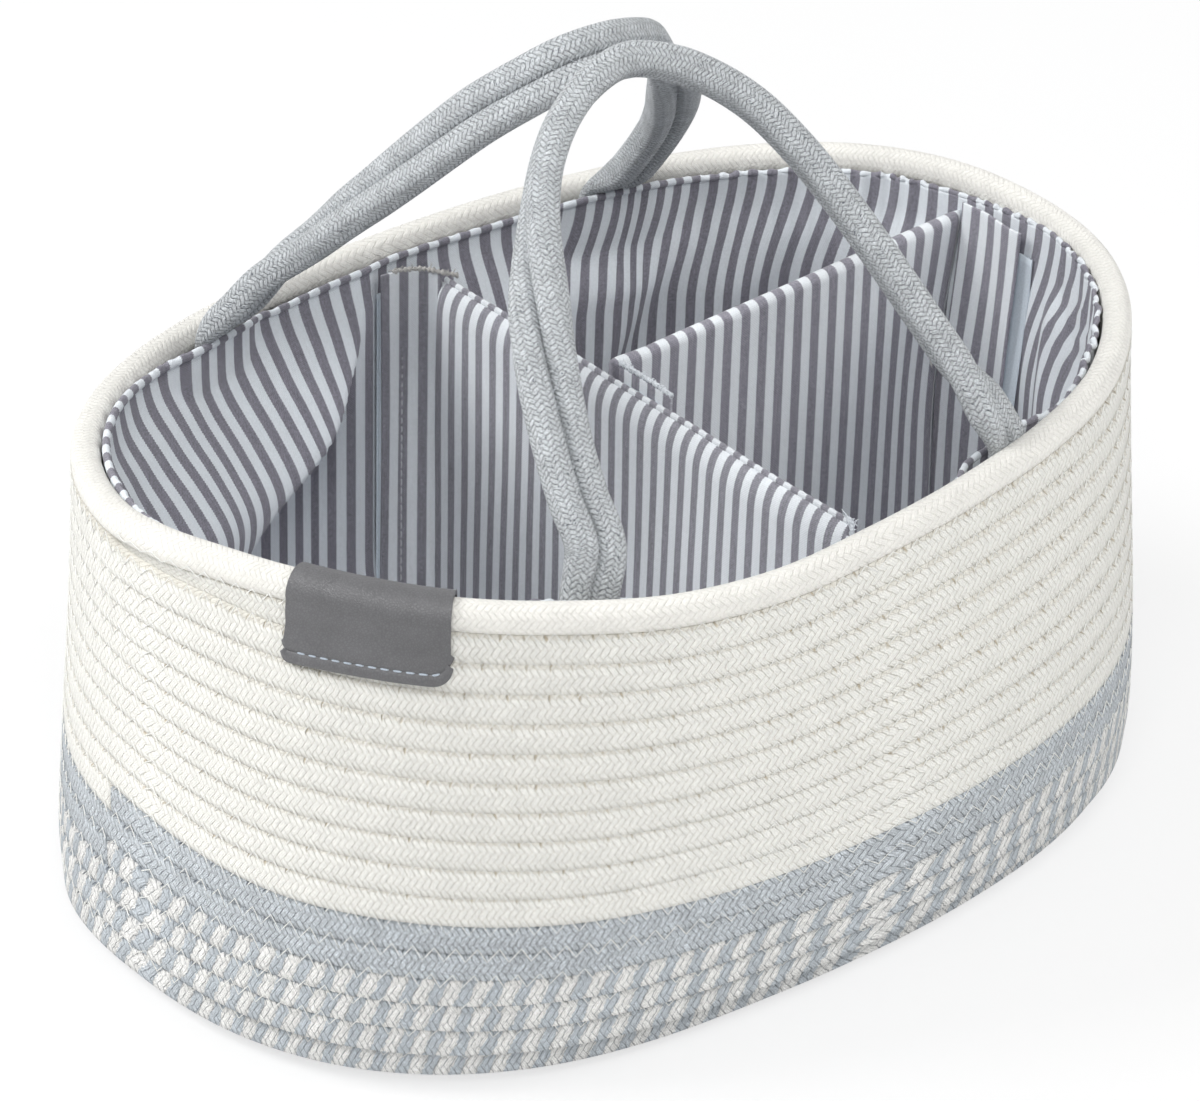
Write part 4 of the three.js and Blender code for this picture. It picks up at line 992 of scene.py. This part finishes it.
def board(name, body, short):
    """Foam board inside a cover: a slab with soft edges, shorter than its space so that the cloth folds over it."""
    low, high = (np.array(corner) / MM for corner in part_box(name))
    middle, half = (low + high) / 2, (high - low) / 2
    along = int(half[1] > half[0])
    reach = np.linspace(-half[along], half[along], 12)
    path = np.tile(middle, (12, 1))
    path[:, along] += reach
    path[:, 2] -= short / 2
    rings = tube(path, np.eye(3)[1 - along], UP, half[1 - along], half[2] - short / 2, 40, 9.0)
    slab = surface(name, [(rings, grid_uv(reach, np.linspace(0, 4 * half[2], 41)))], foam, body)
    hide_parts(name)


def upper_lean(share, lean):
    """Lean along X that grows smoothly over the upper half of an upright piece."""
    return ALONG * lean * smooth(share, 0.45, 1.0)[..., None]


def cloth_strip(name, path, top, look, body, shift, thickness=1.0, wave=None, lean=0.0):
    """Upright cloth flap: a plan path carried upward, with a wave that grows from its fold, given its thickness."""
    line, length = spline(path, 1.2)
    up = np.linspace(0, 1, 60)[:, None]
    depth = wave(length[None], up) if wave else np.zeros((len(up), len(line)))
    x, y, level = np.broadcast_arrays(line[:, 0], line[:, 1], FLAP_FOOT + (top - FLAP_FOOT) * up)
    grid = np.stack([x, y, level], -1) + flat_outward(line)[None] * depth[..., None] + upper_lean(up, lean)
    uv = np.stack(np.broadcast_arrays(length[None] + shift, grid[..., 2]), -1)
    piece = surface(name, [(grid, uv)], look, body, wrap=(False, False), caps=False)
    thicken(piece, thickness, 0.0, 0.3)
    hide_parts(name)


def flaps():
    """The four fold-over flaps of the dividers. Two ripple away from their folds by a sine of length and height."""
    ripple = lambda along, up: 0.5 * np.sin(along / 4.2 + 5 * up) * smooth(along, 8, 18)
    bulge = lambda along, up: 0.8 * np.sin(along / 5.0 + 6 * up) * smooth(along, 2, 12)
    cloth_strip("cross_divider_rear_flap", REAR_FLAP, 154.5, cross_cloth, "cross_rear_flap", 2.0, wave=ripple)
    cloth_strip("cross_divider_front_flap", FRONT_FLAP, 149.0, cross_cloth, "cross_front_flap", 2.0,
                wave=lambda along, up: -ripple(along, up))
    cloth_strip("long_divider_left_flap", LEFT_FLAP, 154.0, long_cloth, "long_left_flap", 1.0, 1.1)
    cloth_strip("long_divider_right_flap", RIGHT_FLAP, 166.0, long_cloth, "long_right_flap", 3.0, 1.1, bulge, 5.2)


def frayed_edge(name, path, body, yarn, reach, seed, every):
    """Overlocked raw edge: a thin lumpy roll along a path, and loose yarn ends, each a short arc from the edge whose
    direction and length come from a seeded table."""
    spacing = 0.3
    line, length = spline(path, spacing)
    forward = unit(np.gradient(line, axis=0))
    sideways = unit(np.cross(forward, UP))
    lumps = 0.75 + 0.22 * np.sin(length * TURN / 1.7) + 0.12 * np.sin(length * TURN / 4.3)
    grids = [(tube(line, sideways, UP, lumps, lumps * 1.2, 8), grid_uv(length, np.linspace(0, 5, 9)))]
    chance = np.random.default_rng(seed)
    droop = np.linspace(0, 1, 6)[:, None]
    for place in np.arange(0, length[-1], every):
        base = min(int(place / spacing), len(line) - 1)
        turn, tilt, long = chance.uniform(-1.2, 1.2), chance.uniform(-1.0, 1.0), reach * chance.uniform(0.4, 1.0)
        way = UP * math.cos(turn) + forward[base] * math.sin(turn) + sideways[base] * tilt * 0.6
        bow = forward[base] * chance.uniform(-0.6, 0.6) - UP * 0.35
        hair = line[base] + way * long * droop + bow * long * droop ** 2
        along = unit(np.gradient(hair, axis=0))
        wide = unit(np.cross(along, [0.3, 0.5, 0.8]))
        rings = tube(hair, wide, np.cross(along, wide), 0.17, 0.17, 4)
        grids.append((rings, grid_uv(np.arange(6) * 0.5, np.linspace(0, 1, 5))))
    surface(name, grids, loose_yarns[yarn], body)


def flap_details():
    """Raw overlocked tops of two flaps, the raw corner of the cross divider's cover, and the dashed seam on its
    rear flap: stitches of 2.5 mm every 3.6 mm that dip in at each end."""
    for row in RAW_EDGES:
        frayed_edge(*row)
    rows = []
    for foot in np.arange(22, 150, 3.6):
        level = np.linspace(foot, foot + 2.5, 7)
        path = np.stack([np.full(7, 1.2), 114.25 + 0.35 * np.array([1, 0.3, 0, 0, 0, 0.3, 1]), level], -1)
        rows.append((tube(path, ALONG, ACROSS, 0.28, 0.26, 6), grid_uv(level, np.linspace(0, 1.7, 7))))
    surface("rear_flap_seam", rows, flap_thread, "cross_rear_flap")


def tape_strip(name, x, y, foot, top, body, lean):
    """Flat strip of hook or loop tape: a soft-edged slab between two plan corners."""
    sizes = np.array([x[1] - x[0], y[1] - y[0]])
    wide, thick = (ACROSS, ALONG) if sizes[1] > sizes[0] else (ALONG, ACROSS)
    levels = np.linspace(foot, top, 50)
    path = np.stack([np.full(50, sum(x) / 2), np.full(50, sum(y) / 2), levels], -1)
    path = path + upper_lean((levels - foot) / (top - foot), lean)
    rings = tube(path, wide, thick, sizes.max() / 2, 0.48, 20, 6.0)
    piece = surface(name, [(rings, grid_uv(levels, np.linspace(0, 50, 21)))], tape, body)
    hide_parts(name)


# ---- leather patch ----

def rounded_corner(reach, radius):
    """How far a rounded corner cuts in, at a distance from the side: a quarter circle."""
    return radius - np.sqrt(np.maximum(radius ** 2 - np.maximum(radius - reach, 0) ** 2, 0))


def patch():
    """Leather patch: up the wall, round the rim rope and down inside, with rounded lower corners. The stitches lie
    in a groove 3.5 mm above the lower edge, over a low swell: two bell curves of the height."""
    columns, rows = 137, 96
    across = np.linspace(0, 1, columns)
    angle = np.radians(PATCH_RIGHT + across * (PATCH_LEFT - PATCH_RIGHT))
    height = rim_height((JOINT_ANGLE - angle) / TURN)
    corner = rounded_corner(across * PATCH_WIDTH, CORNER_RIGHT)
    corner = corner + rounded_corner((1 - across) * PATCH_WIDTH, CORNER_LEFT)
    drop = PATCH_DROP - 1.2 * (1 - across) - corner
    share = np.linspace(0, 1, rows)[:, None]
    outside = share < 0.5
    wall_share = np.clip(share / 0.5, 0, 1)
    bend = np.clip((share - 0.5) / 0.5, 0, 1) * math.pi
    radius = 5.75 + 0.9 * smooth(bend, math.pi / 2, math.pi)
    level = np.where(outside, height - drop * (1 - wall_share), height + radius * np.sin(bend))
    up = drop * wall_share
    relief = 0.45 * np.exp(-((up - 1.6) / 1.3) ** 2) - 0.5 * np.exp(-((up - STITCH_HEIGHT) / 0.75) ** 2)
    half_length, half_width, power = wall_oval(height)
    ride_out = np.maximum(wall_oval(level)[1] - half_width, 0) * 0.9 + 0.2 * np.sin(level / 10 * TURN)
    out = np.where(outside, radius + ride_out + relief, radius * np.cos(bend)) + swell(angle, height)
    x, y = oval_point(angle[None], half_length + out, half_width + out, power)
    grid = np.stack([x, y, level + dip(angle, height)], -1)
    marks = grid_uv(np.arange(rows) * 0.5, across * PATCH_WIDTH)
    piece = surface("leather_patch", [(grid, marks)], leather, "basket", wrap=(False, False), caps=False)
    thicken(piece, PATCH_THICKNESS, 1.0, 0.35)
    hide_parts("leather_patch")

    stitches = []
    row = int(0.5 * STITCH_HEIGHT / PATCH_DROP * rows)
    normal = unit(np.cross(np.gradient(grid[row], axis=0), grid[row + 2] - grid[row - 2]))
    if np.mean(np.sum(normal[:, :2] * grid[row][:, :2], -1)) < 0:
        normal = -normal
    line = grid[row] + normal * 1.6
    sink = np.array([0.75, 0.2, 0, 0, 0, 0, 0, 0.2, 0.75])[:, None]
    for start in range(6, columns - 12, 10):
        high = normal[start:start + 9]
        path = line[start:start + 9] - high * sink
        rings = thread_rings(path, high, 0.3, 0.34, 8)
        stitches.append((rings, grid_uv(np.arange(9) * 0.4, np.linspace(0, 2.2, 9))))
    thread = surface("patch_thread", stitches, patch_thread, "basket")
    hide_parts("patch_thread")


# ---- floor, light and background ----

def studio():
    """Pale floor that keeps the shadow, soft lamps, and a white background that only the camera sees."""
    half = 6
    mesh = bpy.data.meshes.new("studio_floor")
    mesh.from_pydata([(-half, -half, 0), (half, -half, 0), (half, half, 0), (-half, half, 0)], [], [(0, 1, 2, 3)])
    floor = bpy.data.objects.new("studio_floor", mesh)
    bpy.context.collection.objects.link(floor)
    look, add = material("white_paper")
    paper = dress(add, colour("f7f7f7"), 0.9, 0.0)
    seen = add("Math MULTIPLY", add("LightPath").node.outputs["Is Camera Ray"], 0.7)
    glow = add("MixShader", seen, paper, add("Emission", (1, 1, 1, 1), 1.0))
    output = next(node for node in look.node_tree.nodes if node.type == "OUTPUT_MATERIAL")
    look.node_tree.links.new(glow, output.inputs[0])
    mesh.materials.append(look)

    world = bpy.data.worlds.new("studio_world")
    bpy.context.scene.world = world
    world.use_nodes = True
    world.node_tree.nodes.clear()
    add = functools.partial(add_node, world.node_tree)
    rays = add("LightPath").node.outputs
    soft = add("Background", (0.98, 0.99, 1.0, 1.0), AMBIENT)
    white = add("Background", (1, 1, 1, 1), 1.0)
    seen = add("Math MAXIMUM", rays["Is Camera Ray"], rays["Is Glossy Ray"])
    seen = add("Math MAXIMUM", seen, rays["Is Transmission Ray"])
    add("OutputWorld", add("MixShader", seen, soft, white))

    for name, place, power in LAMPS:
        data = bpy.data.lights.new(name, "AREA")
        data.shape, data.size, data.energy = "DISK", LAMP_SIZE, power
        lamp = bpy.data.objects.new(name, data)
        lamp.location = place
        lamp.rotation_euler = (Vector((0, 0, 0.1)) - Vector(place)).to_track_quat("-Z", "Y").to_euler()
        bpy.context.collection.objects.link(lamp)
    bpy.context.scene.view_settings.view_transform = "Standard"


camera()
wall_ropes()
wall_stitches()
stripes = lining_wall()
lining_floor()
lining_hem(stripes)
handle("front_handle", -13.0, -1, math.radians(38.6), FRONT_ARCH, FRONT_LEAVE, True, ((72, 166), (20, 62)),
       (-0.5, -0.72, 0.56))
handle("rear_handle", 2.0, 1, math.radians(41.3), REAR_ARCH, REAR_LEAVE, False, ((0, 205), (100, 175)),
       (0.0, -0.755, -0.656))
cross_cover()
long_cover()
flaps()
flap_details()
for row in TAPES:
    tape_strip(*row)
patch()
board("cross_divider_board", "cross_divider", 9.0)
board("long_divider_board", "long_divider", 7.0)
studio()
